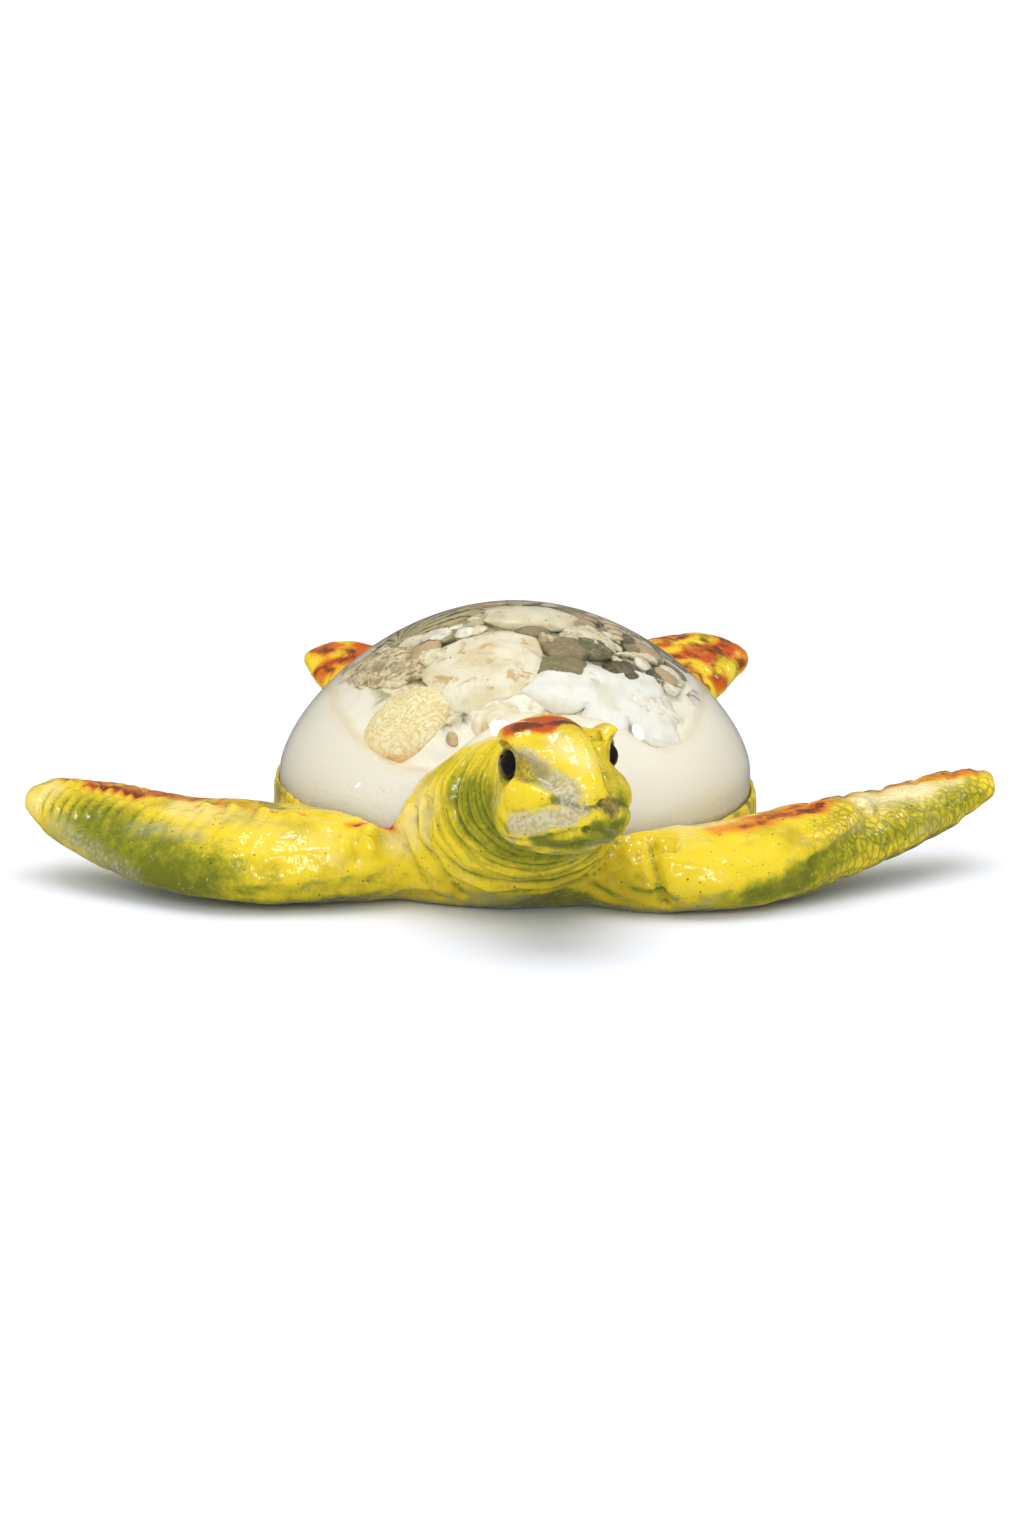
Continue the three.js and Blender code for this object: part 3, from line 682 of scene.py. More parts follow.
dome = half_ball("clear_dome", 160, 80)
cap_shape(dome, 0, DOME_FOOT)
print("dome", len(dome.data.polygons), "faces, from", points_of(dome).min(axis=0).round(1))

# %% [markdown]
# ## The dome's seat
# The casting is fine and smooth now, so the seat is cut out of it with a Boolean: a cutter with the
# dome's own shape, a third of a millimetre larger all round.

# %% Cut the seat
SEAT_GAP = 0.3

cutter = half_ball("seat_cutter", 160, 40)
cap_shape(cutter, -SEAT_GAP, DOME_FOOT - SEAT_GAP)
choose(turtle)
cut = turtle.modifiers.new("seat", "BOOLEAN")
cut.operation, cut.solver, cut.object = "DIFFERENCE", "MANIFOLD", cutter
bpy.ops.object.modifier_apply(modifier=cut.name)
bpy.data.objects.remove(cutter)
print("turtle with its seat", triangles(turtle), "triangles")

# %% [markdown]
# ## The bed under the shells
# The maker pours cream resin first, which climbs the mould like a wave and stays right behind the
# clear surface, then presses shells into it, with olive sand higher up. So the bed follows the dome:
# less than a millimetre under it up to a wavy shore line, and deeper in above the shore.

# %% Bed with its shore line
# The shore's height at bearings round the dome: 0 is toward the head, 90 toward +X.
SHORE = np.array([
    [-180, 29], [-150, 31.5], [-120, 32], [-95, 33], [-78, 34], [-69, 33], [-52, 31.3], [-37, 28.6],
    [-27, 26.8], [-19, 27.2], [-14, 30], [-9, 34], [-3, 37], [4, 37.8], [12, 36.6], [24, 35.4],
    [29, 33], [33, 30.8], [38, 29], [45, 28.5], [52, 29.2], [64, 31.6], [82, 33], [105, 33],
    [130, 31], [155, 31.5], [180, 29],
])
SHORE_BAND = 1.6
SHORE_DEPTH = 0.7
SAND_DEPTH_LOW = 3.9
SAND_DEPTH_HIGH = 6.2
BED_GAP = 0.4


def bearing_of(points):
    return np.degrees(np.arctan2(points[:, 0] - DOME_CENTRE_X, -points[:, 1]))


def above_shore(points):
    height = np.interp(bearing_of(points), SHORE[:, 0], SHORE[:, 1])
    return points[:, 2] - height + 0.5 * wander(points, 2.6, 1)


bed = half_ball("shell_bed", 440, 220)
cap_shape(bed, 0, DOME_FOOT + BED_GAP)
points = points_of(bed)
shore = above_shore(points)
sandy = ramp(shore, -0.6, 1.6)
sand_depth = SAND_DEPTH_LOW + (SAND_DEPTH_HIGH - SAND_DEPTH_LOW) * ramp(points[:, 2], 32, 48)
depth = SHORE_DEPTH + (sand_depth - SHORE_DEPTH) * sandy
depth -= sandy * (0.7 * wander(points, 3.1, 5) + 0.35 * wander(points, 1.1, 9))
swell(bed, -depth)
set_attributes(bed, sand=ramp(shore + 1.6 * wander(points, 3, 8), 4.5, 8),
               shore=1 - np.clip(np.abs(shore) / SHORE_BAND, 0, 1))
print("bed", len(bed.data.polygons), "faces")

# %% [markdown]
# ## Shells, pebbles and a starfish
# Each find starts as a fine copy of its CAD solid, because that sits at the right place. Its facets
# are remeshed and relaxed away, and its ribs, whorls or pits are raised in its own frame, which is the
# one in which it was laid on the bed: X across, Y toward its tip or edge, Z out of the bed.

# %% Finds on the bed
SIDE_SKIN = 3.2
TOP_SKIN = 5.5
# Place (bearing, share of the way down, turn, how far out), growth, and the room it takes.
FINDS = {
    "white_starfish": ((38, 0.45, 0, 0.8), (1, 1, 1), 9),
    "swirled_pebble": ((-38, 0.55, -8, -1.2), (1.14, 1.06, 1), 10),
    "pitted_coral": ((-70, 0.39, 12, -0.6), (1.2, 1.3, 1), 8),
    "cream_shell_front": ((-16, 0.29, 16, -0.6), (1.3, 1.22, 1), 12.5),
    "ribbed_cockle": ((-104, 0.23, 70, 0), (1.25, 1.15, 1), 10.5),
    "cream_shell_top": ((50, 0.05, -50, 0.4), (1.2, 1.2, 1), 8.5),
    "round_snail": ((-5, 0.52, 0, -0.4), (1.25, 1.25, 1), 5),
    "tower_shell": ((98, 0.27, 84, 0.4), (1, 1, 1), 6),
    "grey_stone": ((104, 0.47, 20, -0.8), (1, 1, 1), 7),
    "brown_edged_scallop": ((80, 0.64, 10, 0), (1, 1, 1), 8),
    "banded_cockle": ((150, 0.36, 170, 0), (1, 1, 1), 10),
    "turban_shell": ((-142, 0.42, -60, -0.7), (1, 1, 1), 8),
}
FIND_VOXEL = 0.34
STAR_VOXEL = 0.4
# A flat thing on the round bed droops by its squared distance from the middle over this.
BED_CURVE = 100


def on_bed(bearing, down, turn, out):
    """A find's frame on the bed: its origin, and its axes as columns."""
    def place(bearing, share):
        reach, high = cap_profile(share)
        return np.array([
            DOME_CENTRE_X + math.sin(bearing) * reach * (DOME_HALF_WIDTH - SIDE_SKIN),
            -math.cos(bearing) * reach * (DOME_HALF_LENGTH - SIDE_SKIN),
            DOME_SHOULDER + high * (DOME_TOP - DOME_SHOULDER - TOP_SKIN),
        ])

    bearing, step = math.radians(bearing), 0.001
    up = place(bearing, down - step) - place(bearing, down + step)
    side = place(bearing + step, down) - place(bearing - step, down)
    up, side = up / np.linalg.norm(up), side / np.linalg.norm(side)
    outward = np.cross(side, up)
    outward /= np.linalg.norm(outward)
    side = np.cross(up, outward)
    spin = math.radians(turn)
    across = side * math.cos(spin) + up * math.sin(spin)
    along = up * math.cos(spin) - side * math.sin(spin)
    return place(bearing, down) + outward * out, np.stack([across, along, outward], axis=1)


def in_find_frame(node):
    origin, axes = on_bed(*FINDS[node][0])
    return (points_of(finds[node]) - origin) @ axes


def set_in_find_frame(node, local):
    origin, axes = on_bed(*FINDS[node][0])
    set_points(finds[node], origin + local @ axes.T)


finds = {}
for node, (_, growth, _) in FINDS.items():
    finds[node] = copy_of_node(node, node + "_fine")
    remesh(finds[node], (STAR_VOXEL if node == "white_starfish" else FIND_VOXEL) * MM)
    relax(finds[node], 14)
    set_in_find_frame(node, in_find_frame(node) * growth)
print("finds", {node: len(piece.data.polygons) for node, piece in finds.items()})

# %% Ribs, whorls and pits
# Half length, number of ribs to a radian, and height of the ribs.
FANS = {
    "ribbed_cockle": (12, 12, 0.95), "brown_edged_scallop": (7.6, 12, 0.3), "banded_cockle": (9.6, 13, 0.6),
}
# Half length, number of whorls, and their height.
SPIRALS = {"tower_shell": (10, 6, 0.6), "turban_shell": (8.4, 4, 0.7)}
# From the arm at the top, toward +X. That arm thins out under the sand, by STAR_DIP at its end.
ARM_SWELLS = (0.55, 1.15, 1.4, 1.2, 1.6)
STAR_DIP = 2.6

# Ribs run from the hinge to the edge of a bivalve, with growth rings across them.
for node, (half, ribs, tall) in FANS.items():
    x, y, z = in_find_frame(node).T
    hinge = -half * 0.95
    angle, reach = np.arctan2(x, y - hinge), np.hypot(x, y - hinge)
    rib = np.abs(np.cos(angle * ribs)) ** 0.8 - 0.5
    rings = 0.12 * np.sin(reach * 3.4 + 0.6 * np.sin(2 * angle))
    swell(finds[node], ramp(reach, 1.5, 5) * (tall * rib + rings) * ramp(z, -3, 0))
    set_attributes(finds[node], rib=np.clip(0.5 + rib, 0, 1), edge=ramp(reach, half * 1.45, half * 1.9))

# A spiral groove runs round a turban or tower shell, with fine threads between.
for node, (half, turns, tall) in SPIRALS.items():
    x, y, z = in_find_frame(node).T
    phase = 2 * math.pi * turns * ((y / half + 1) / 2) + np.arctan2(z, x)
    hump = np.abs(np.sin(phase / 2)) ** 0.6 - 0.6
    swell(finds[node], tall * hump + 0.07 * np.sin(phase * 6))
    set_attributes(finds[node], rib=np.clip(0.6 + hump, 0, 1))

# The starfish's arms swell toward blunt ends, and a low ridge runs along each.
local = in_find_frame("white_starfish")
for arm, swelling in enumerate(ARM_SWELLS):
    turn = 2 * math.pi * arm / 5
    along = np.array([math.sin(turn), math.cos(turn), 0])
    across = np.array([math.cos(turn), -math.sin(turn), 0])
    reach, aside = local @ along, local @ across
    share = ramp(reach, 4, 10) * ramp(reach - np.abs(aside) * 1.3, -1, 2)
    local = local + (share * (swelling - 1) * aside)[:, None] * across
    if arm == 0:
        local[:, 2] -= STAR_DIP * ramp(reach, 6, 13)
set_in_find_frame("white_starfish", local)
x, y, z = in_find_frame("white_starfish").T
spoke = np.abs(((np.arctan2(x, y) / (2 * math.pi) * 5 + 0.5) % 1) - 0.5)
ridge = bump(spoke * np.hypot(x, y) * 1.26, 1.4) * ramp(z + (x * x + y * y) / BED_CURVE, -0.5, 1)
swell(finds["white_starfish"], 0.35 * ridge)

# The coral is crumbly, the cream shells are worn to lumps, and the snail is coiled.
points = points_of(finds["pitted_coral"])
swell(finds["pitted_coral"], 0.5 * wander(points, 1.1, 2) + 0.35 * wander(points, 0.6, 5))
for node in ("cream_shell_front", "cream_shell_top"):
    points = points_of(finds[node])
    swell(finds[node], 0.7 * wander(points, 2.6, 3) + 0.2 * wander(points, 0.9, 1))
x, y, z = in_find_frame("round_snail").T
swell(finds["round_snail"], 0.3 * np.sin(2.2 * np.hypot(x, y) - np.arctan2(y, x)))
print("finds detailed")

# %% [markdown]
# ## Small shells and pebbles between
# A handful of crushed shell and gravel fills the room between the finds, all round the dome. Three
# small shapes are modelled once, a pebble, a little cockle and a spire. Each starts about a metre
# large, is brought down to a millimetre, and is copied with a new size, place and turn each time. A
# seeded dice makes the same bed on every run.

# %% Little shells
SPIRE_LENGTH = 2.2
SPIRE_VOXEL = 0.07
SPIRE_WHORLS = 5
COCKLE_RIBS = 17
# Nothing loose lies this near the shore, nor low at the front, where the cream is clean.
SHORE_MARGIN = 1.5
CLEAN_BEARING = 62
CLEAN_HEIGHT = 41


def small_pebble():
    piece = primitive("ico_sphere", subdivisions=3, radius=1)
    points = points_of(piece) * MM
    set_points(piece, points * (1 + 0.12 * wander(points, 0.4, 4))[:, None] * (1, 0.8, 0.55))
    return piece


def small_cockle():
    piece = primitive("uv_sphere", segments=36, ring_count=14, radius=1)
    points = points_of(piece) * MM
    x, y, z = points.T
    rib = 0.09 * np.cos(np.arctan2(x, y + 1.02) * COCKLE_RIBS)
    shape = points * (1, 1.05, 0.5)
    shape += normals_of(piece) * (rib * ramp(z, -0.2, 0.3))[:, None]
    shape[:, 2] += 0.12 * (1 - y) * (z > 0)
    set_points(piece, shape)
    return piece


def small_spire():
    piece = primitive("cone", vertices=20, radius1=0.5, radius2=0.06, depth=SPIRE_LENGTH)
    mode("EDIT")
    bpy.ops.mesh.select_all(action="SELECT")
    bpy.ops.transform.rotate(value=math.pi / 2, orient_axis="X", center_override=(0, 0, 0))
    mode("OBJECT")
    remesh(piece, SPIRE_VOXEL)
    points = points_of(piece) * MM
    x, y, z = points.T
    phase = 2 * math.pi * SPIRE_WHORLS * (y + SPIRE_LENGTH / 2) / SPIRE_LENGTH + np.arctan2(z, x)
    set_points(piece, points + normals_of(piece) * (0.12 * (np.abs(np.sin(phase / 2)) - 0.5))[:, None])
    return piece


def lay(model, place, size, tone, tilt=0.0):
    """One copy of a small shape, laid on the bed with a size in mm across, along and up."""
    origin, axes = on_bed(*place)
    copy = add_object(model.name, model.data.copy())
    turned = axes @ np.array(Matrix.Rotation(tilt, 3, "X"))
    local = points_of(model) * size
    local[:, 2] -= (local[:, 0] ** 2 + local[:, 1] ** 2) / BED_CURVE
    set_points(copy, origin + local @ turned.T)
    set_attributes(copy, tone=np.full(len(local), tone))
    return copy


TAKEN = [(on_bed(*place)[0], room) for place, _, room in FINDS.values()]


def free(origin):
    """Whether a small thing may lie here: on the sand, clear of the finds and of the clean cream."""
    clean = abs(bearing_of(origin[None])[0]) < CLEAN_BEARING and origin[2] < CLEAN_HEIGHT
    if clean or above_shore(origin[None])[0] < SHORE_MARGIN:
        return False
    return all(np.linalg.norm(origin - centre) > room for centre, room in TAKEN)


def scatter(name, model, count, sizes, seed, out, placed):
    """Copies of one small shape: first the ones with a set place, then others all over the sand."""
    dice = np.random.default_rng(seed)
    copies = [lay(model, place, size, tone) for place, size, tone in placed]
    count += len(copies)
    while len(copies) < count:
        bearing, down = dice.uniform(-180, 180), math.sqrt(dice.uniform(0, 0.5))
        size, turn = dice.uniform(*sizes), dice.uniform(0, 360)
        if not free(on_bed(bearing, down, turn, out)[0]):
            continue
        size = size * np.array([1, dice.uniform(0.8, 1.1), dice.uniform(0.6, 1)])
        copies.append(lay(model, (bearing, down, turn, out), size, dice.uniform(), dice.uniform(-0.4, 0.4)))
    bpy.data.objects.remove(model)
    choose(*copies)
    bpy.ops.object.join()
    copies[0].name = name
    return copies[0]


# Place on the bed (bearing, share of the way down, turn, how far out), size (across, along, up), tone.
STONES = [
    ((24, 0.32, 20, -0.1), (6.6, 6, 5), 0.55),
    ((52, 0.4, 40, -0.1), (7.6, 5.6, 4.4), 0.5),
    ((34, 0.38, 4, 1.4), (1.3, 4, 2.4), 0.97),
    ((88, 0.3, 30, -0.2), (4.6, 4, 3.6), 0.52),
    ((-19, 0.6, 30, 0.8), (1.2, 2.4, 1.6), 0.4),
    ((-48, 0.3, -20, 0.8), (4.6, 3.6, 3.6), 0.05),
    ((-62, 0.2, 30, -0.2), (3.6, 4, 3.2), 0.6),
    ((12, 0.2, 50, -0.2), (3.4, 2.6, 2.6), 0.28),
    ((75, 0.17, 0, -0.2), (4, 3.4, 3.4), 0.12),
    ((120, 0.16, 0, -0.2), (4.4, 3.6, 3.2), 0.58),
    ((68, 0.44, 20, 0.2), (3, 2.4, 2.4), 0.5),
    ((-88, 0.5, 0, -0.2), (3.6, 3, 3), 0.2),
    ((-6, 0.36, 8, -1), (12, 13, 4.4), 0.97),
    ((-28, 0.36, 0, -1), (4, 6, 4), 0.97),
    ((-86, 0.42, 10, 0), (3, 2.6, 2.6), 0.7),
    ((-56, 0.42, 10, -0.6), (3.4, 3, 3), 0.1),
    ((70, 0.28, 0, 0.2), (3, 2.2, 2.6), 0.5),
    ((30, 0.22, 0, 0), (3, 2.6, 2.6), 0.35),
]
COCKLES = [
    ((50, 0.52, -78, -0.5), (7.6, 8.2, 4.6), 0.95),
    ((58, 0.235, 150, 0.3), (5.4, 5.6, 4.8), 0.12),
    ((-150, 0.16, 30, 0), (5.6, 5.6, 4.6), 0.3),
    ((178, 0.2, 200, 0), (5, 5.4, 4), 0.8),
    ((124, 0.6, 0, 0), (5, 5, 4), 0.15),
    ((-110, 0.52, 60, 0), (5, 5.4, 4), 0.1),
]
SPIRES = [
    ((-126, 0.3, 20, 0), (4.6, 5, 4.6), 0.4),
    ((112, 0.33, 70, 0), (4, 5, 4), 0.9),
    ((72, 0.35, 60, 0.6), (3.6, 4.6, 4), 0.2),
]
gravel = scatter("gravel", small_pebble(), 150, (1.4, 4), 3, 0.5, STONES)
little_cockles = scatter("little_cockles", small_cockle(), 34, (2.4, 4.6), 8, 0.9, COCKLES)
little_spires = scatter("little_spires", small_spire(), 22, (2.4, 4), 5, 1.1, SPIRES)
print("small shells", [len(piece.data.polygons) for piece in (gravel, little_cockles, little_spires)])

# %% [markdown]
# ## The eyes
# Black glass beads, as on most figurines of this kind: a plain ball with a slightly fuller cornea.

# %% Eye beads
EYE_GAP = 0.05
CORNEA = 0.05
# Side: the CAD solid it stands for, and how tall it is for its width.
BEADS = {-1: ("right_eye", 1.02), 1: ("left_eye", 1.1)}

eyes = {}
for turn, (node, tall) in BEADS.items():
    eyes[node] = primitive("uv_sphere", segments=64, ring_count=32, radius=1)
    eyes[node].name = node + "_bead"
    centre, axis = eye_axes(turn)
    points = points_of(eyes[node]) * MM
    fuller = 1 + CORNEA * ramp(points @ axis, 0.8, 1)
    set_points(eyes[node], centre + points * fuller[:, None] * (EYE_RADIUS - EYE_GAP) * (1, 1, tall))
print("eyes", list(eyes))

# %% [markdown]
# ## Where the colours go
# The real casting is painted by hand in running glazes: lemon yellow all over, green low down and in
# patches, red and orange along the tops, chalky worn places, dark pits. The green and mustard in the
# creases, on faces that look down, under the jaw and on the head's left side are painted shade, as is a
# dark ring round each eye. Low by the floor they are partly glaze and partly painted shade, and some pale
# on the arms is a painted highlight. Each colour gets a float attribute on the body's points, brushed on
# in soft strokes in space, so it looks right from every side. A row of a table is one stroke: reach,
# strength, then the points of its line. The glaze material then breaks the edges of these areas up with
# noise.

# %% Hollows and soft brushes
def hollows(piece, rounds):
    """How hollow the surface is at each point, smoothed over its neighbours: above 0 in creases."""
    points, normals = points_of(piece), normals_of(piece)
    a, b, count = edges = edges_of(piece)
    step = points[b] - points[a]
    squared = np.maximum(np.einsum("ij,ij->i", step, step), 0.02)
    bend_a = np.einsum("ij,ij->i", step, normals[a]) / squared
    bend_b = -np.einsum("ij,ij->i", step, normals[b]) / squared
    bend = (np.bincount(a, bend_a, len(count)) + np.bincount(b, bend_b, len(count))) / count
    for _ in range(rounds):
        bend = 0.5 * bend + 0.5 * neighbours_mean(edges, bend)
    return bend


def brushed(strokes, flat=1):
    """Soft strokes on the turtle, laid over each other. With flat below 1 they reach further along Y."""
    squash = np.array([1, flat, 1])
    bare = np.ones(len(points))
    for reach, strength, line in strokes:
        line = np.array(line, dtype=float) * squash
        line = line if len(line) > 1 else np.array([line[0], line[0] + 0.01])
        bare *= 1 - strength * near_line(points * squash, line, reach)
    return 1 - bare


def on_head(strokes):
    """Strokes given in the head's own frame: side, forward and up of each point."""
    return [(*row, [head_place(*place) for place in line]) for *row, line in strokes]


points, normals = points_of(turtle), normals_of(turtle)
x, y, z = points.T
across, upward = np.abs(x), normals[:, 2]
seen = head_view(points)
share, _ = neck_share(points, 28, -50)
fold = np.clip(crease_depths(points) / 1.1, 0, 1)
under = ramp(-upward, 0.15, 0.75)
# Strokes of green, chalk and pale run down the body's slopes, and so further along Y.
RUNNING = 0.6
print("paint ground", len(points), "points")

# %% Orange, red and brown along the tops
ORANGE = [
    (1.4, 0.7, [(-91, -19, 18.6), (-86.5, -20, 18.4)]),
    (3.6, 1, [(-85, -21.8, 17.2), (-79, -24.8, 17), (-74, -28.2, 16.6)]),
    (1.2, 0.6, [(-62.6, -36, 16.8), (-59.6, -38.6, 16)]),
    (1.6, 0.9, [(-50.4, -42, 17.4), (-47.4, -43.4, 17)]),
    (2.2, 1, [(-43.5, -44.8, 16.8), (-41, -45.6, 16.4)]),
    (1.5, 0.5, [(-36.4, -51.4, 13.6), (-35.6, -51.4, 11.4)]),
    (2.2, 1, [(-31.6, -50, 16.4), (-25.8, -50.4, 15.6), (-21.4, -52, 15.8)]),
    (5, 0.9, [(40, -49.8, 15), (48.4, -47.4, 16), (54.6, -43.4, 16.4), (60.8, -39, 17), (63, -37, 17)]),
    (5, 0.85, [(46, -43, 15.8), (54, -38, 17), (60, -33, 18)]),
    (3.6, 1, [(61, -29, 18), (68, -24.6, 18.4), (76, -19.4, 18.6), (84, -15.4, 18.6), (92, -13, 18)]),
    (1.2, 0.7, [(92, -13.6, 18), (96.4, -13, 17.4)]),
]
EMBER = [
    (2.6, 0.8, [(-84.6, -22, 17.4), (-81.6, -23.4, 17.2)]),
    (3, 0.85, [(-79, -24.2, 17.2), (-74.4, -27.6, 16.8)]),
    (1, 0.9, [(-50, -42, 17.4), (-46.4, -44, 16.8)]),
    (1, 0.8, [(-43, -45, 16.8), (-40.6, -45.6, 16.6)]),
    (1.1, 1, [(-30.6, -50.2, 16.2), (-28.6, -50.4, 15.6)]),
    (1, 1, [(-24.6, -51, 15.8), (-22.6, -51.6, 15.8)]),
    (3.6, 0.7, [(46, -48, 15.6), (52, -44.6, 16.4), (58, -41, 17)]),
    (3, 0.9, [(58, -40.6, 17), (63, -37.6, 17)]),
    (2.6, 0.5, [(48, -43, 16.2), (56, -37, 17.4)]),
    (1.5, 1, [(72.6, -20.6, 18.8), (74.4, -19.6, 18.8)]),
    (1.5, 1, [(79.6, -16.6, 18.8), (81.4, -15.8, 18.8)]),
    (1, 0.9, [(66, -21.4, 18.8), (67.2, -21, 18.8)]),
    (1, 0.8, [(87.6, -11.6, 18.8), (89, -11, 18.8)]),
]
CAP = on_head([
    (4.6, 1, [(-8.8, 1.2, 9.8), (-6.4, -0.6, 10.8), (-2, -0.6, 11.8), (2, 1, 12)]),
    (3.8, 1, [(-9.8, 3.4, 9.6), (-6.6, 4.6, 10.2), (-3.6, 5, 10.8)]),
    (3.8, 1, [(-1, 2.6, 12), (3.2, 4, 11.4)]),
    (2.2, 0.5, [(-9.4, 4.8, 9.2)]),
    (2.4, 0.6, [(7.6, -1.6, 10), (8.6, 1, 10.2)]),
])
CAP_DARK = on_head([
    (3.4, 1, [(-8.8, 3.2, 10.8), (-7, 3.4, 11.2), (-5.6, 2.8, 11.6)]),
    (3.6, 1, [(-1.4, 3.6, 12.4), (1, 4, 12.6), (3.4, 3.6, 11.8)]),
    (0.6, 0.9, [(-9.5, 4.9, 9.5)]),
])
# Where the front flippers' leading edge lies: distance from the middle, and Y.
LEADING_EDGE = ([50, 60, 70, 80, 90, 98], [-40, -33, -26.5, -20.5, -16, -13])

cap = brushed(CAP)
orange = np.maximum(brushed(ORANGE), cap)
ember = np.maximum(brushed(EMBER), 1.4 * brushed(CAP_DARK))
rear = ramp(y, 58, 68) * ramp(across, 18, 27) * ramp(upward, -0.45, 0.25)
edge = np.interp(across, *LEADING_EDGE) - 5 * (x < 0)
top_side = ramp(upward, 0.6, 0.95) * ramp(across, 48, 60) * ramp(y - edge, 0.5, 5) * (y < 40)
set_attributes(turtle, rear=np.clip(rear + 0.85 * top_side, 0, 1), orange=np.clip(orange, 0, 1),
               ember=np.clip(ember, 0, 1.3), cap=cap)
print("orange covers", round(float((orange > 0.4).mean()), 3), "of the points")

# %% Green low down and in the creases, much of it painted shade
GREEN = [
    (9, 0.8, [(-89, -34, 12), (-83, -39, 11)]),
    (9, 1, [(-81.5, -37.8, 13), (-73, -45.7, 11.4), (-66, -51, 9.6), (-58, -55, 8.4)]),
    (6, 0.9, [(-78, -44, 8), (-70, -51, 5.6), (-62, -56, 4.6)]),
    (4, 0.5, [(-52, -57.6, 9.6), (-46, -58.4, 8.6)]),
    (6, 0.72, [(56, -55.6, 7), (62.2, -49.4, 9.4), (68.3, -45, 11), (74.8, -39.4, 11.6), (81.3, -32.6, 13),
               (87.9, -26.4, 14.6), (93, -21, 15.6)]),
    (5, 0.8, [(47, -59.8, 4.2), (56, -56, 5.4)]),
    (4, 0.4, [(72, -32, 16), (79, -29, 16)]),
]
# Under the jaw and throat and on the left side of the snout, this green is painted shade.
HEAD_GREEN = on_head([
    (5, 1, [(-7, 14, -9), (0, 16, -9), (6, 15, -7.6), (9.4, 12, -6)]),
    (3, 0.9, [(1.6, 18, -5), (5, 17.4, -5.4), (8, 15, -6)]),
    (3.4, 0.6, [(7.6, 15.4, 0), (8.6, 14.6, -2.6)]),
    (4, 0.35, [(7, 13.4, 4.4), (8.8, 11, 2.6), (10.2, 8, 0.4)]),
    (6, 1, [(-11, -6, -9), (-8, 2, -13), (0, 6, -14), (7, 4, -13)]),
    (5.5, 0.9, [(-12, -7, -3), (-12.6, -3, -6)]),
    (3, 0.75, [(-12.8, 0, 3), (-13, 0.4, -1)]),
    (2, 0.6, [(-12.6, 3.4, -4.6), (-11.6, 8, -7.4)]),
    (1.6, 0.8, [(-6, 16.2, 0.2), (-4.4, 17.4, -0.4), (-2.6, 18, -1.2)]),
    (2.4, 0.6, [(-8.4, 11.8, 2), (-6, 14, 1.6)]),
])
# Mustard on the head's left side, away from the front light, is painted shade.
HEAD_SHADE_MUSTARD = on_head([
    (6, 1, [(7.4, 12.6, 4), (8.6, 12, 1)]),
    (6, 1, [(9.6, 9.6, -1.6), (9.6, 6, 2)]),
    (4, 1, [(7.6, 9, 7), (8.4, 12, 4)]),
    (2, 0.7, [(5.6, 6, 9), (5.6, 11, 5.6)]),
    (3.4, 0.6, [(-12.4, 2, 0), (-12.4, 4, -4)]),
])

neck_green = ramp(share, 0.56, 0.72) * (1 - ramp(z, 27, 33)) * (1 - ramp(x, 12, 19))
neck_green *= 1 - ramp(seen[:, 1], 2, 8) * ramp(seen[:, 2], -12, -9)
green = np.maximum(brushed(GREEN, RUNNING), 1.25 * brushed(HEAD_GREEN))
green = np.maximum(green, 0.8 * neck_green)
# Green in the neck's creases is painted shade.
green = np.clip(green + 0.6 * fold * ramp(share, 0.42, 0.56), 0, 1.3)
# Faces that look down get green as painted shade.
green = np.maximum(green, under * (0.6 + 0.4 * wander(points, 9, 4)))
# Green and mustard low by the floor are partly glaze and partly painted shade.
green += 0.22 * (1 - ramp(z, 4, 12)) * (1 + wander(points, 5, 7)) * (y < 0)
floor_glaze_and_shade = 0.55 * (1 - ramp(z, 3, 9)) * (1 - ramp(across, 60, 75))
mustard = np.maximum(brushed(HEAD_SHADE_MUSTARD), np.maximum(floor_glaze_and_shade, 0.45 * neck_green))
# Green in the hollows, set by how hollow each point is, is painted shade.
bend = hollows(turtle, 3)
set_attributes(turtle, mustard=mustard, green=np.clip(green, 0, 1.3), crease=np.clip(bend * 3.2, 0, 1),
               rings=share * ramp(share, 0.36, 0.46))
print("creases", np.percentile(bend, [1, 50, 99]).round(3))

# %% Chalky, pale and dark places
CHALK = [
    (6, 0.8, [(-91, -33, 12.6), (-85.4, -39.6, 9.4), (-80, -43.6, 7.4), (-74, -47, 5.4)]),
    (4.6, 0.75, [(-75, -43, 14), (-70, -44.6, 14.4), (-66, -46.9, 14.4), (-60.9, -49.9, 14.2)]),
    (3, 0.5, [(-57, -52, 13), (-52, -54, 12.6)]),
    (4, 0.6, [(57, -51, 12.4), (62, -48, 12.8), (66, -44.4, 14)]),
    (4, 0.7, [(66.9, -36.3, 17.1), (69.4, -38.6, 16), (68.6, -42, 14.6)]),
    (3.4, 0.6, [(80, -35, 10.6), (86, -28.6, 12.6)]),
    (2.2, 0.8, [(-16.2, -57.4, 20), (-16.8, -58.9, 15.4), (-14.4, -59.6, 10)]),
    (2.2, 0.6, [(-21.6, -53, 14.4), (-19.4, -54.6, 9.6)]),
    (3, 0.6, [(-18.8, -55.4, 20.6), (-19.6, -55, 17)]),
    (2, 0.6, [(15.6, -59, 8.6), (10.6, -60, 6.6)]),
    (2.4, 0.5, [(-26, -56.6, 3.4), (-14, -57.4, 3.6)]),
]
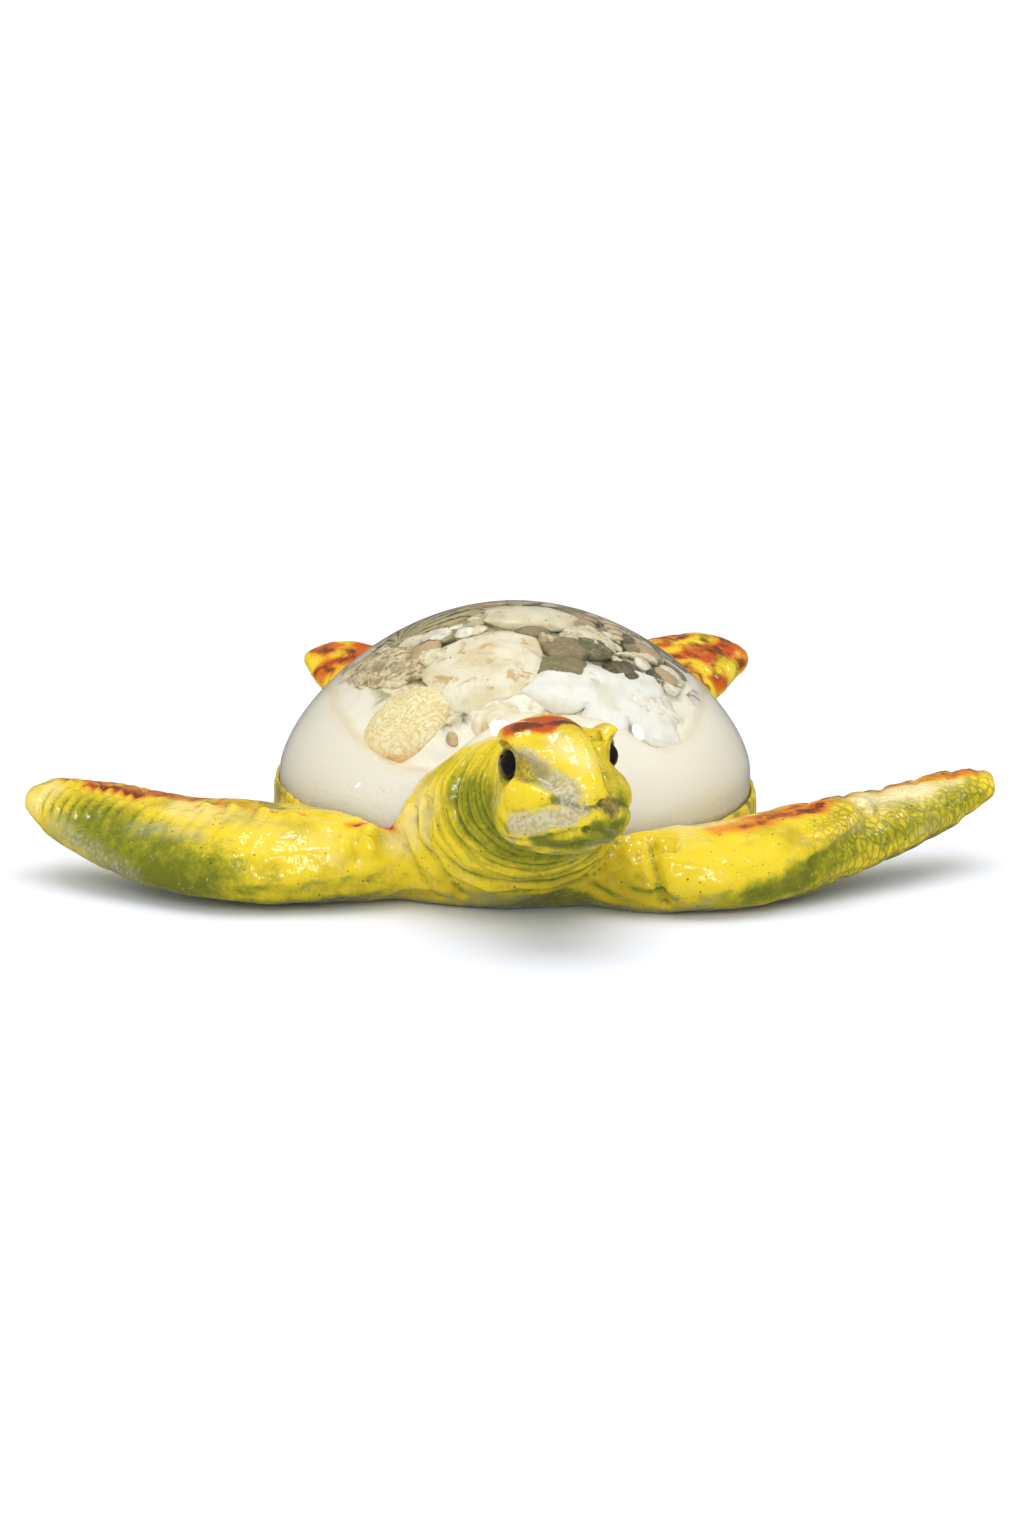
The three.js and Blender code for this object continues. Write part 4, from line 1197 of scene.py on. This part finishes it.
HEAD_CHALK = on_head([
    (3, 1, [(-11.6, 9.9, -5.6), (-9.6, 13.8, -4.1), (-6.7, 16.5, -2.9), (-3.4, 18, -2.2),
            (-0.6, 18.3, -1.8)]),
    (2.4, 0.9, [(-11.4, 9.6, -7.4), (-9, 14, -6.2), (-6, 16.4, -4.6), (-3, 17.8, -3.8)]),
    (2, 0.6, [(-9.6, 5.8, 7.2), (-7.8, 8, 6.8), (-5.6, 10.6, 6)]),
    (3.6, 0.85, [(-6.6, 13.8, 3.2), (-5.2, 15.4, 2.2), (-3.6, 16.8, 1.4)]),
    (4, 0.8, [(-8, 10.4, 5), (-5.8, 13.4, 4), (-3.4, 15.8, 2.8)]),
    (2.8, 0.7, [(-10.4, 5.6, 7.4), (-8.4, 8.6, 6.6)]),
    (3, 1, [(-4, 16.8, 1.6), (-2.2, 17.4, 1), (-0.6, 17.9, 0.8)]),
    (1.6, 0.8, [(-10.8, 3.2, -9.6), (-9.6, 7, -9.8)]),
    (1.4, 0.7, [(-12, 6.6, 6.6), (-12, 2, 7.6)]),
])
SMOKE = [
    (2.4, 0.9, [(-47, -16, 15), (-46.4, -20, 15.4)]),
    (2, 0.8, [(-46.2, -22, 13.6), (-45, -25, 13)]),
    (2.2, 0.9, [(48.4, -14, 13.4), (47.6, -18, 12.4)]),
    (1.8, 0.8, [(45.6, -24, 12.8), (44.6, -27, 12.6)]),
    (1.2, 0.9, [(27.3, -60.7, 10.2), (28.3, -62.1, 7), (29.4, -60.7, 3)]),
    *on_head([
        (3.8, 0.9, [(-9.8, 7.4, 5.2), (-8.6, 9.8, 4.6), (-7.2, 11.8, 4)]),
        (2.4, 0.8, [(-10.4, 8.6, 3), (-9.4, 10.8, 2.4)]),
        (1.7, 0.9, [(-11.2, 6.2, 4.4), (-11.2, 6.4, 2.4)]),
        (2.6, 1, [(1.4, 18.2, -0.4), (3, 18, -1.2), (5.4, 17.2, -2.6)]),
        (3, 0.9, [(4.4, 17.2, -0.4), (6.4, 16.2, -1.4)]),
        (1.8, 0.7, [(5.2, 13, 3.4), (5.2, 15.6, 1.6)]),
        (1.6, 0.6, [(5.4, 4, 10), (5.4, 9, 7)]),
        (1.8, 0.6, [(-12.8, 1, 4.8), (-12.9, 1, 1)]),
    ]),
]
# Pale is cream paint; the three rows at 0.4 on the shoulders and arms are a painted highlight.
PALE = [
    (5, 0.4, [(-22, -54, 14), (-17, -58, 22)]),
    (5, 0.4, [(-66, -36, 16), (-48, -48, 13), (-34, -52, 11)]),
    (5, 1, [(70.6, -31, 16.8), (76, -27, 17), (82, -23, 17)]),
    (3, 0.6, [(84, -21, 16.6), (90, -17, 17)]),
    (4, 0.45, [(-92, -24, 17), (-95, -26, 15)]),
    (5, 0.4, [(27, -46, 13), (40, -44, 14)]),
    *on_head([
        (3.4, 0.45, [(-3, 8, 9), (1, 13, 6)]),
    ]),
]
EYE_RING = 2.9
UPPER_FLUTES = RIGHT_FLUTES[:10]

chalk = np.maximum(0.75 * brushed(CHALK, RUNNING), brushed(HEAD_CHALK))
chalk = np.maximum(chalk, 0.5 * under * ramp(wander(points, 5, 9), 0.1, 0.6))
grooves = ramp(fold, 0.3, 0.9) * ramp(share, 0.44, 0.5) * (1 - ramp(share, 0.64, 0.74))
chalk = np.maximum(chalk, 0.6 * grooves * ramp(wander(points, 6, 3), -0.2, 0.5))
smoke = brushed(SMOKE)
# A dark ring round each eye opening is painted shade.
for turn in EYES:
    height, radius = from_eye(points, turn)
    smoke = np.maximum(smoke, 0.95 * bump(radius - EYE_RING, 0.75) * (height > BEHIND_EYE))
rim = (1 - ramp(across / 50, 0.99, 1.03)) * (y > -46) * (y < 60) * ramp(z, 8, 10)
rim *= ramp(np.hypot(x / 48, y / 58), 0.97, 1)
smoke = np.maximum(smoke, 0.8 * rim * ramp(wander(points, 3.6, 2), 0.25, 0.6))
flutes = np.sum([bump(away, 0.6) for away in from_flutes(points, UPPER_FLUTES)], axis=0)
flutes *= ramp(-normals[:, 1], -0.6, 0.2) * ramp(z, 13.4, 16.6) * (x < -50) * (y < -14)
blade = ramp(x, 52, 66) * ramp(-y, 8, 16)
loose_skin = 1 - 0.8 * ramp(share, 0.45, 0.7) - ramp(seen[:, 1], -8, 0) * (y < -60)
set_attributes(turtle, chalk=np.clip(chalk, 0, 1), smoke=np.clip(smoke, 0, 1), pale=brushed(PALE, RUNNING),
               loose_skin=loose_skin, flutes=np.clip(flutes, 0, 1),
               scales=blade * ramp(-normals[:, 1], -0.1, 0.4))
print("chalk", round(float((chalk > 0.4).mean()), 3), "smoke", round(float((smoke > 0.4).mean()), 3))

# %% [markdown]
# ## Mixing paint
# A material here is a recipe: noise and cells of a known size in millimetres, masks made from them,
# and coats of colour laid one over the other into the shader. This class keeps each line of a recipe
# short. Numbers that are the same all over go straight into the shader's own sockets.

# %% Paint recipes
class Recipe:
    def __init__(self, name, base, **sockets):
        self.colour = base
        self.material = new_material(name, **sockets)
        self.tree = self.material.node_tree
        self.shader = self.tree.nodes["Principled BSDF"]
        place = self.node("TexCoord").outputs["Object"]
        self.mm = self.node("VectorMath", {0: place, "Scale": 1 / MM}, operation="SCALE").outputs[0]

    def node(self, kind, inputs=None, **settings):
        return add_node(self.tree, kind, inputs, **settings)

    def noise(self, size, detail=3, warp=0, at=None):
        sockets = {"Vector": at or self.mm, "Scale": 1 / size, "Detail": detail, "Distortion": warp}
        return self.node("TexNoise", sockets).outputs[0]

    def cells(self, size, at=None, feature="F1"):
        return self.node("TexVoronoi", {"Vector": at or self.mm, "Scale": 1 / size}, feature=feature)

    def dots(self, size, radius, share, at=None):
        """Round dots in a given share of the cells."""
        cells = self.cells(size, at)
        dot = self.band(cells.outputs["Distance"], radius, radius * 0.55)
        luck = self.node("SeparateColor", {0: cells.outputs["Color"]}).outputs[0]
        return self.calc("MULTIPLY", dot, self.calc("LESS_THAN", luck, share))

    def band(self, value, low, high):
        """0 at low and 1 at high, with soft ends."""
        sockets = {0: value, 1: low, 2: high, 3: 0.0, 4: 1.0}
        return self.node("MapRange", sockets, interpolation_type="SMOOTHSTEP").outputs[0]

    def calc(self, how, a, b=0.0):
        return self.node("Math", {0: a, 1: b}, operation=how).outputs[0]

    def times(self, first, *rest):
        for value in rest:
            first = self.calc("MULTIPLY", first, value)
        return first

    def sum(self, first, *rest):
        """first + share * value for each further pair."""
        for value, share in rest:
            first = self.calc("ADD", first, self.calc("MULTIPLY", value, share))
        return first

    def ragged(self, mask, *noises):
        """A mask with its edge broken up: each noise moves it up and down by its share."""
        return self.sum(mask, *((self.calc("SUBTRACT", noise, 0.5), share) for noise, share in noises))

    def painted(self, name):
        return self.node("Attribute", attribute_name=name).outputs["Fac"]

    def coat(self, paint, *masks):
        """Lays a colour over the coats so far, where all the masks are high."""
        under, over = ((*c, 1) if isinstance(c, tuple) else c for c in (self.colour, paint))
        mixed = self.node("Mix", {0: self.times(*masks), 6: under, 7: over}, data_type="RGBA")
        self.colour = mixed.outputs[2]

    def stretched(self, turn, scale):
        return self.node("Mapping", {"Vector": self.mm, "Rotation": turn, "Scale": scale}).outputs[0]

    def finish(self, height=None, depth=0, roughness=None):
        """Joins the coats to the shader. Height is a relief, depth mm high for a value of 1."""
        self.tree.links.new(self.colour, self.shader.inputs["Base Color"])
        if roughness:
            self.tree.links.new(roughness, self.shader.inputs["Roughness"])
        if height:
            relief = self.node("Bump", {"Height": height, "Distance": depth * MM, "Strength": 1.0})
            self.tree.links.new(relief.outputs[0], self.shader.inputs["Normal"])
        return self.material


print("recipes ready")

# %% [markdown]
# ## The glaze
# Coats in the order a painter lays them: yellow, green, chalk and smoke, orange and ember, the rear
# flippers' fire, then tiny pits and pinholes. Part of the green, mustard and smoke is painted shade, some
# pale is a painted highlight, and the pale dashes are partly painted glints. All lie under one hard,
# clear gloss, rougher only where the chalk shows.

# %% Glaze of the casting
LEMON = (0.84, 0.63, 0.025)
BUTTER = (0.86, 0.68, 0.12)
MUSTARD = (0.56, 0.42, 0.018)
LIME = (0.32, 0.31, 0.014)
MOSS = (0.12, 0.135, 0.01)
CHALK_WHITE = (0.6, 0.56, 0.42)
CHALK_GREY = (0.36, 0.32, 0.22)
SMOKE_GREY = (0.1, 0.085, 0.055)
FLAME = (0.82, 0.27, 0.012)
VERMILION = (0.52, 0.06, 0.012)
UMBER = (0.13, 0.035, 0.012)
CREAM_YELLOW = (0.97, 0.83, 0.46)
OLIVE_SPECK = (0.3, 0.27, 0.06)
PIT_BROWN = (0.07, 0.055, 0.015)
PINHOLE_PALE = (0.75, 0.72, 0.55)
# Pale dashes stand for pores and partly for glints, a painted highlight.
DASH_PALE = (0.72, 0.68, 0.45)

glaze = Recipe("running_glaze", LEMON, Roughness=0.12, IOR=1.5)
broad, patches = glaze.noise(11, 3), glaze.noise(3.2, 4, 0.6)
grain, dust = glaze.noise(0.75, 3), glaze.noise(0.28, 2)
pale, rings, loose_skin, flutes, ember, rear = (
    glaze.painted(name) for name in ("pale", "rings", "loose_skin", "flutes", "ember", "rear"))
# The green attribute is green paint and painted shade; the crease attribute adds painted shade in the
# hollows.
green = glaze.ragged(glaze.painted("green"), (patches, 1), (grain, 0.6))
green = glaze.sum(green, (glaze.painted("crease"), 0.55))
glaze.coat(MUSTARD, glaze.band(broad, 0.5, 0.72))
glaze.coat(BUTTER, glaze.band(patches, 0.52, 0.72), 0.55)
# Pale is cream paint, and a painted highlight on the arms.
glaze.coat(CREAM_YELLOW, pale)
ring_place = glaze.sum(glaze.times(rings, 46), (patches, 1.5))
streaks = glaze.node("TexNoise", {"W": ring_place, "Scale": 1, "Detail": 3}, noise_dimensions="1D").outputs[0]
glaze.coat(LIME, glaze.band(streaks, 0.5, 0.64), glaze.band(rings, 0.4, 0.6), 0.5)
# The mustard attribute is painted shade on the head's left side; near the floor it is partly glaze and partly
# painted shade.
glaze.coat(MUSTARD, glaze.painted("mustard"), 0.9)
glaze.coat(LIME, glaze.band(green, 0.12, 0.95))
glaze.coat(MOSS, glaze.band(green, 0.6, 1.3), 0.85)
scale_edge = glaze.cells(1.5, glaze.stretched((0.2, 0.35, -0.5), (0.9, 1, 0.5)), "DISTANCE_TO_EDGE")
scales = glaze.times(glaze.band(scale_edge.outputs["Distance"], 0.2, 0.03), glaze.painted("scales"))
glaze.coat(MOSS, scales, glaze.sum(0.5, (pale, -0.45)))

chalk = glaze.ragged(glaze.painted("chalk"), (grain, 0.6), (dust, 0.2), (patches, 0.35))
chalk = glaze.times(glaze.band(chalk, 0.25, 1.05), 0.85)
yellow_and_green, glaze.colour = glaze.colour, CHALK_GREY
glaze.coat(CHALK_WHITE, glaze.band(grain, 0.38, 0.62))
chalk_tone, glaze.colour = glaze.colour, yellow_and_green
glaze.coat(chalk_tone, chalk)
smoke = glaze.ragged(glaze.painted("smoke"), (grain, 0.9), (dust, 0.5))
glaze.coat(SMOKE_GREY, glaze.band(smoke, 0.3, 1.15), 0.85)

orange = glaze.painted("orange")
fire = glaze.sum(glaze.ragged(orange, (patches, 0.9), (grain, 0.25)), (flutes, 0.22))
glaze.coat(FLAME, glaze.band(fire, 0.15, 0.95))
red = glaze.sum(fire, (glaze.painted("cap"), 0.65), (ember, 0.5))
glaze.coat(VERMILION, glaze.band(red, 0.75, 1.5), 0.9)
burnt = glaze.sum(glaze.ragged(ember, (patches, 1.4), (grain, 0.5)), (glaze.times(flutes, orange), 0.25))
glaze.coat(UMBER, glaze.band(burnt, 0.4, 1.0), 0.9)
rear_marks, rear_fire = glaze.noise(3.4, 2, 0.4), glaze.noise(6, 1.5, 0.3)
glaze.coat(FLAME, rear, glaze.band(rear_fire, 0.32, 0.58))
glaze.coat(VERMILION, rear, glaze.band(rear_fire, 0.42, 0.64), 0.85)
glaze.coat(UMBER, rear, glaze.band(rear_marks, 0.44, 0.7), 0.9)

pits = glaze.sum(glaze.dots(2.1, 0.12, 0.3), (glaze.dots(1.1, 0.16, 0.16), 0.8))
pinholes = glaze.dots(1.3, 0.13, 0.24)
# Pale dashes on the loose skin: pores in the glaze, and partly painted glints.
dashes = glaze.dots(1.2, 0.22, 0.12, glaze.stretched((0.2, 0.1, 0.3), (2.2, 1.4, 0.7)))
glaze.coat(OLIVE_SPECK, glaze.dots(0.8, 0.26, 0.4), glaze.band(glaze.noise(4.5, 2), 0.45, 0.62), 0.6)
glaze.coat(PIT_BROWN, pits, 0.8)
glaze.coat(PINHOLE_PALE, pinholes, 0.6)
glaze.coat(DASH_PALE, dashes, loose_skin, 0.65)
lumps, hammered = glaze.noise(2.7, 1), glaze.noise(1.5, 2, 0.3)
crinkles = glaze.times(glaze.noise(1.1, 2, 0.5, glaze.stretched((0.1, 0.15, 0), (1, 1, 0.55))), loose_skin)
relief = glaze.sum(glaze.times(lumps, 1.5), (patches, 0.25), (crinkles, 0.5), (hammered, 0.15), (grain, 0.16),
                   (dust, 0.03), (pits, -0.9), (pinholes, -0.5), (scales, -0.3), (chalk, -0.2))
glaze_paint = glaze.finish(relief, 0.25, glaze.sum(0.13, (chalk, 0.28), (grain, 0.05)))
print("glaze", len(glaze.tree.nodes), "nodes")

# %% [markdown]
# ## Resin, shells and stones
# The cream resin is smooth with faint warm clouds, and the sand above the shore is olive with dark and
# pale grains. The shells keep what the sea left: stained cream, ribs with dirt between them, bands and
# pits. Their colours are a little lighter than they look, because resin over a thing darkens it.

# %% Cream resin and sand
CREAM = (0.9, 0.86, 0.73)
CREAM_WARM = (0.88, 0.79, 0.6)
SHORE_TAN = (0.8, 0.66, 0.42)
SAND = (0.42, 0.38, 0.21)
SAND_DARK = (0.09, 0.085, 0.035)
SAND_PALE = (0.8, 0.74, 0.52)
SAND_BROWN = (0.4, 0.24, 0.1)

resin = Recipe("cream_resin_and_sand", SAND_PALE, Roughness=0.35, IOR=1.4)
grains, pools = resin.noise(0.9, 3), resin.noise(5, 3, 0.8)
resin.coat(SAND, resin.band(pools, 0.42, 0.62))
resin.coat(SAND_DARK, resin.band(resin.noise(3.4, 3, 0.5), 0.52, 0.66), 0.85)
resin.coat(SAND_BROWN, resin.band(grains, 0.56, 0.68), 0.6)
resin.coat(SAND_PALE, resin.dots(1.3, 0.3, 0.3), 0.8)
sand, resin.colour = resin.colour, CREAM
resin.coat(CREAM_WARM, resin.band(resin.noise(14, 3, 0.4), 0.52, 0.75), 0.6)
resin.coat(SAND_BROWN, resin.dots(7, 0.03, 0.5), 0.6)
resin.coat(SHORE_TAN, resin.painted("shore"), 0.45)
resin.coat(sand, resin.painted("sand"))
resin_paint = resin.finish(resin.sum(grains, (pools, 0.6)), 0.15)

# %% Stained cream shell
shell = Recipe("stained_cream_shell", (0.87, 0.82, 0.64), Roughness=0.3, IOR=1.45)
stains = shell.noise(3.6, 3, 0.7)
lines = shell.noise(1.1, 2, 1.2, shell.stretched((0.3, 0.2, 0.5), (1, 0.25, 0.5)))
shell.coat((0.76, 0.65, 0.4), shell.band(shell.noise(7, 2), 0.4, 0.65))
shell.coat((0.8, 0.72, 0.5), shell.band(lines, 0.5, 0.7), 0.45)
shell.coat((0.6, 0.38, 0.13), shell.band(stains, 0.57, 0.7), 0.85)
spots = shell.dots(2.1, 0.12, 0.35, shell.stretched((0.5, 0.3, 0.9), (1, 0.45, 1)))
shell.coat((0.22, 0.13, 0.06), spots, 0.85)
cream_shell_paint = shell.finish(shell.sum(lines, (stains, 0.6)), 0.2)

# %% Pebble with swirls, coral with pits
pebble = Recipe("swirled_pebble_stone", (0.93, 0.86, 0.52), Roughness=0.35, IOR=1.45)
marble = pebble.noise(4.4, 2, 1.6)
swirl = pebble.calc("SINE", pebble.times(marble, 40))
fine_swirl = pebble.calc("SINE", pebble.times(pebble.noise(2.2, 2, 1.2), 24))
height = pebble.node("SeparateXYZ", {0: pebble.mm}).outputs[2]
pebble.coat((0.84, 0.64, 0.24), pebble.band(swirl, -0.8, 1.0))
pebble.coat((0.97, 0.92, 0.72), pebble.band(fine_swirl, 0.2, 0.95), 0.45)
pebble.coat((0.78, 0.36, 0.08), pebble.band(pebble.sum(height, (marble, 5.0)), 32.5, 26.5), 0.75)
pebble_paint = pebble.finish(pebble.sum(swirl, (fine_swirl, 0.4)), 0.05)

coral = Recipe("pitted_coral_stone", (0.8, 0.7, 0.45), Roughness=0.55, IOR=1.4)
pits, crumbs = coral.dots(1.1, 0.36, 0.4), coral.noise(1.6, 4, 0.5)
coral.coat((0.42, 0.32, 0.15), coral.band(crumbs, 0.42, 0.62))
coral.coat((0.3, 0.21, 0.12), coral.band(coral.noise(3.5, 3), 0.52, 0.68), 0.6)
coral.coat((0.2, 0.16, 0.1), pits, 0.7)
coral_paint = coral.finish(coral.sum(crumbs, (pits, -1.0)), 0.5)


# %% Ribbed shells, tan shells, stone and starfish
def ribbed(name, low, high, edge=None):
    """Dirt lies low between pale ribs, and some shells have a dark edge."""
    recipe = Recipe(name, low, Roughness=0.4, IOR=1.4)
    dirt = recipe.noise(1.8, 3, 0.5)
    recipe.coat(high, recipe.band(recipe.ragged(recipe.painted("rib"), (dirt, 1.2)), 0.15, 0.75))
    recipe.coat(low, recipe.band(recipe.noise(4, 3), 0.55, 0.7), 0.5)
    if edge:
        recipe.coat(edge, recipe.band(recipe.ragged(recipe.painted("edge"), (dirt, 0.6)), 0.25, 0.6))
    return recipe.finish(dirt, 0.25)


cockle_paint = ribbed("ribbed_cockle_shell", (0.06, 0.05, 0.018), (0.56, 0.47, 0.24))
scallop_paint = ribbed("brown_edged_scallop_shell", (0.34, 0.28, 0.2), (0.72, 0.69, 0.6), (0.42, 0.22, 0.07))
banded_paint = ribbed("banded_cockle_shell", (0.5, 0.3, 0.13), (0.84, 0.72, 0.48), (0.6, 0.4, 0.18))
spiral_paint = ribbed("spiral_shell", (0.3, 0.19, 0.09), (0.78, 0.64, 0.4))

stone = Recipe("grey_green_stone", (0.13, 0.14, 0.09), Roughness=0.45, IOR=1.4)
veins = stone.noise(2.6, 4, 0.8)
stone.coat((0.42, 0.42, 0.31), stone.band(veins, 0.44, 0.6))
stone.coat((0.7, 0.66, 0.5), stone.dots(1.6, 0.2, 0.3), 0.7)
stone_paint = stone.finish(veins, 0.25)

star = Recipe("bleached_starfish", (0.87, 0.87, 0.8), Roughness=0.32, IOR=1.45)
star.coat((0.78, 0.75, 0.62), star.band(star.noise(5, 3), 0.45, 0.7))
star_paint = star.finish(star.cells(0.9).outputs["Distance"], 0.1)

# %% Gravel, clear resin and beads
# The tones of the gravel from 0 to 1: where each next one begins and is full, and its colour.
GRAVEL_TONES = [
    (0.2, 0.3, (0.6, 0.44, 0.24)), (0.4, 0.5, (0.075, 0.072, 0.03)), (0.51, 0.57, (0.24, 0.21, 0.1)),
    (0.64, 0.72, (0.68, 0.6, 0.38)), (0.8, 0.9, (0.94, 0.91, 0.78)),
]

mixed = Recipe("mixed_gravel", (0.88, 0.81, 0.58), Roughness=0.4, IOR=1.4)
tone, worn = mixed.painted("tone"), mixed.noise(0.7, 4)
for start, full, shade in GRAVEL_TONES:
    mixed.coat(shade, mixed.band(tone, start, full))
mixed.coat((0.4, 0.32, 0.16), mixed.band(mixed.noise(2.4, 3, 0.5), 0.42, 0.66), 0.4)
fewer_on_pale = mixed.sum(0.55, (mixed.band(tone, 0.9, 0.96), -0.35))
mixed.coat((0.26, 0.2, 0.11), mixed.band(worn, 0.54, 0.7), fewer_on_pale)
mixed.coat((0.86, 0.8, 0.6), mixed.band(worn, 0.44, 0.28), 0.3)
gravel_paint = mixed.finish(mixed.noise(0.7, 3), 0.15)

clear_paint = new_material("clear_cast_resin", Base_Color=(1, 1, 0.992, 1), Roughness=0.0, IOR=1.3,
                           Transmission_Weight=1.0)
bead = Recipe("black_glass_bead", (0.003, 0.003, 0.003), Roughness=0.06, IOR=1.5)
bead.coat((0.012, 0.009, 0.007), bead.band(bead.noise(0.5, 3), 0.35, 0.7))
bead_paint = bead.finish()
print("finishes", len(bpy.data.materials))

# %% [markdown]
# ## Handing over
# Every piece rides on the part's one body, gets its finish, and stands for the CAD solid it refines.

# %% Finish the scene
FIND_FINISHES = [
    ("white_starfish", star_paint, ["white_starfish"]),
    ("swirled_stone", pebble_paint, ["swirled_pebble"]),
    ("coral", coral_paint, ["pitted_coral"]),
    ("cream_shell", cream_shell_paint, ["cream_shell_front", "cream_shell_top", "round_snail"]),
    ("ribbed_shell", cockle_paint, ["ribbed_cockle"]),
    ("ribbed_shell", scallop_paint, ["brown_edged_scallop"]),
    ("tan_shell", spiral_paint, ["tower_shell", "turban_shell"]),
    ("tan_shell", banded_paint, ["banded_cockle"]),
    ("grey_stone", stone_paint, ["grey_stone"]),
]
# Piece, slot, finish, and the CAD solid it stands for.
HANDED = [
    (turtle, "painted_body", glaze_paint, "turtle_body"),
    (dome, "clear_resin", clear_paint, "clear_resin_dome"),
    (bed, "cream_resin", resin_paint, "cream_shell_bed"),
    *((finds[node], slot, paint, node) for slot, paint, nodes in FIND_FINISHES for node in nodes),
    (gravel, "grey_stone", gravel_paint, None),
    (little_cockles, "ribbed_shell", gravel_paint, None),
    (little_spires, "tan_shell", gravel_paint, None),
    *((eye, "black_bead", bead_paint, node) for node, eye in eyes.items()),
]

for piece, slot, paint, node in HANDED:
    choose(piece)
    bpy.ops.object.shade_smooth()
    piece.data.materials.clear()
    piece.data.materials.append(paint)
    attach(piece, "root")
    if node:
        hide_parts(node)
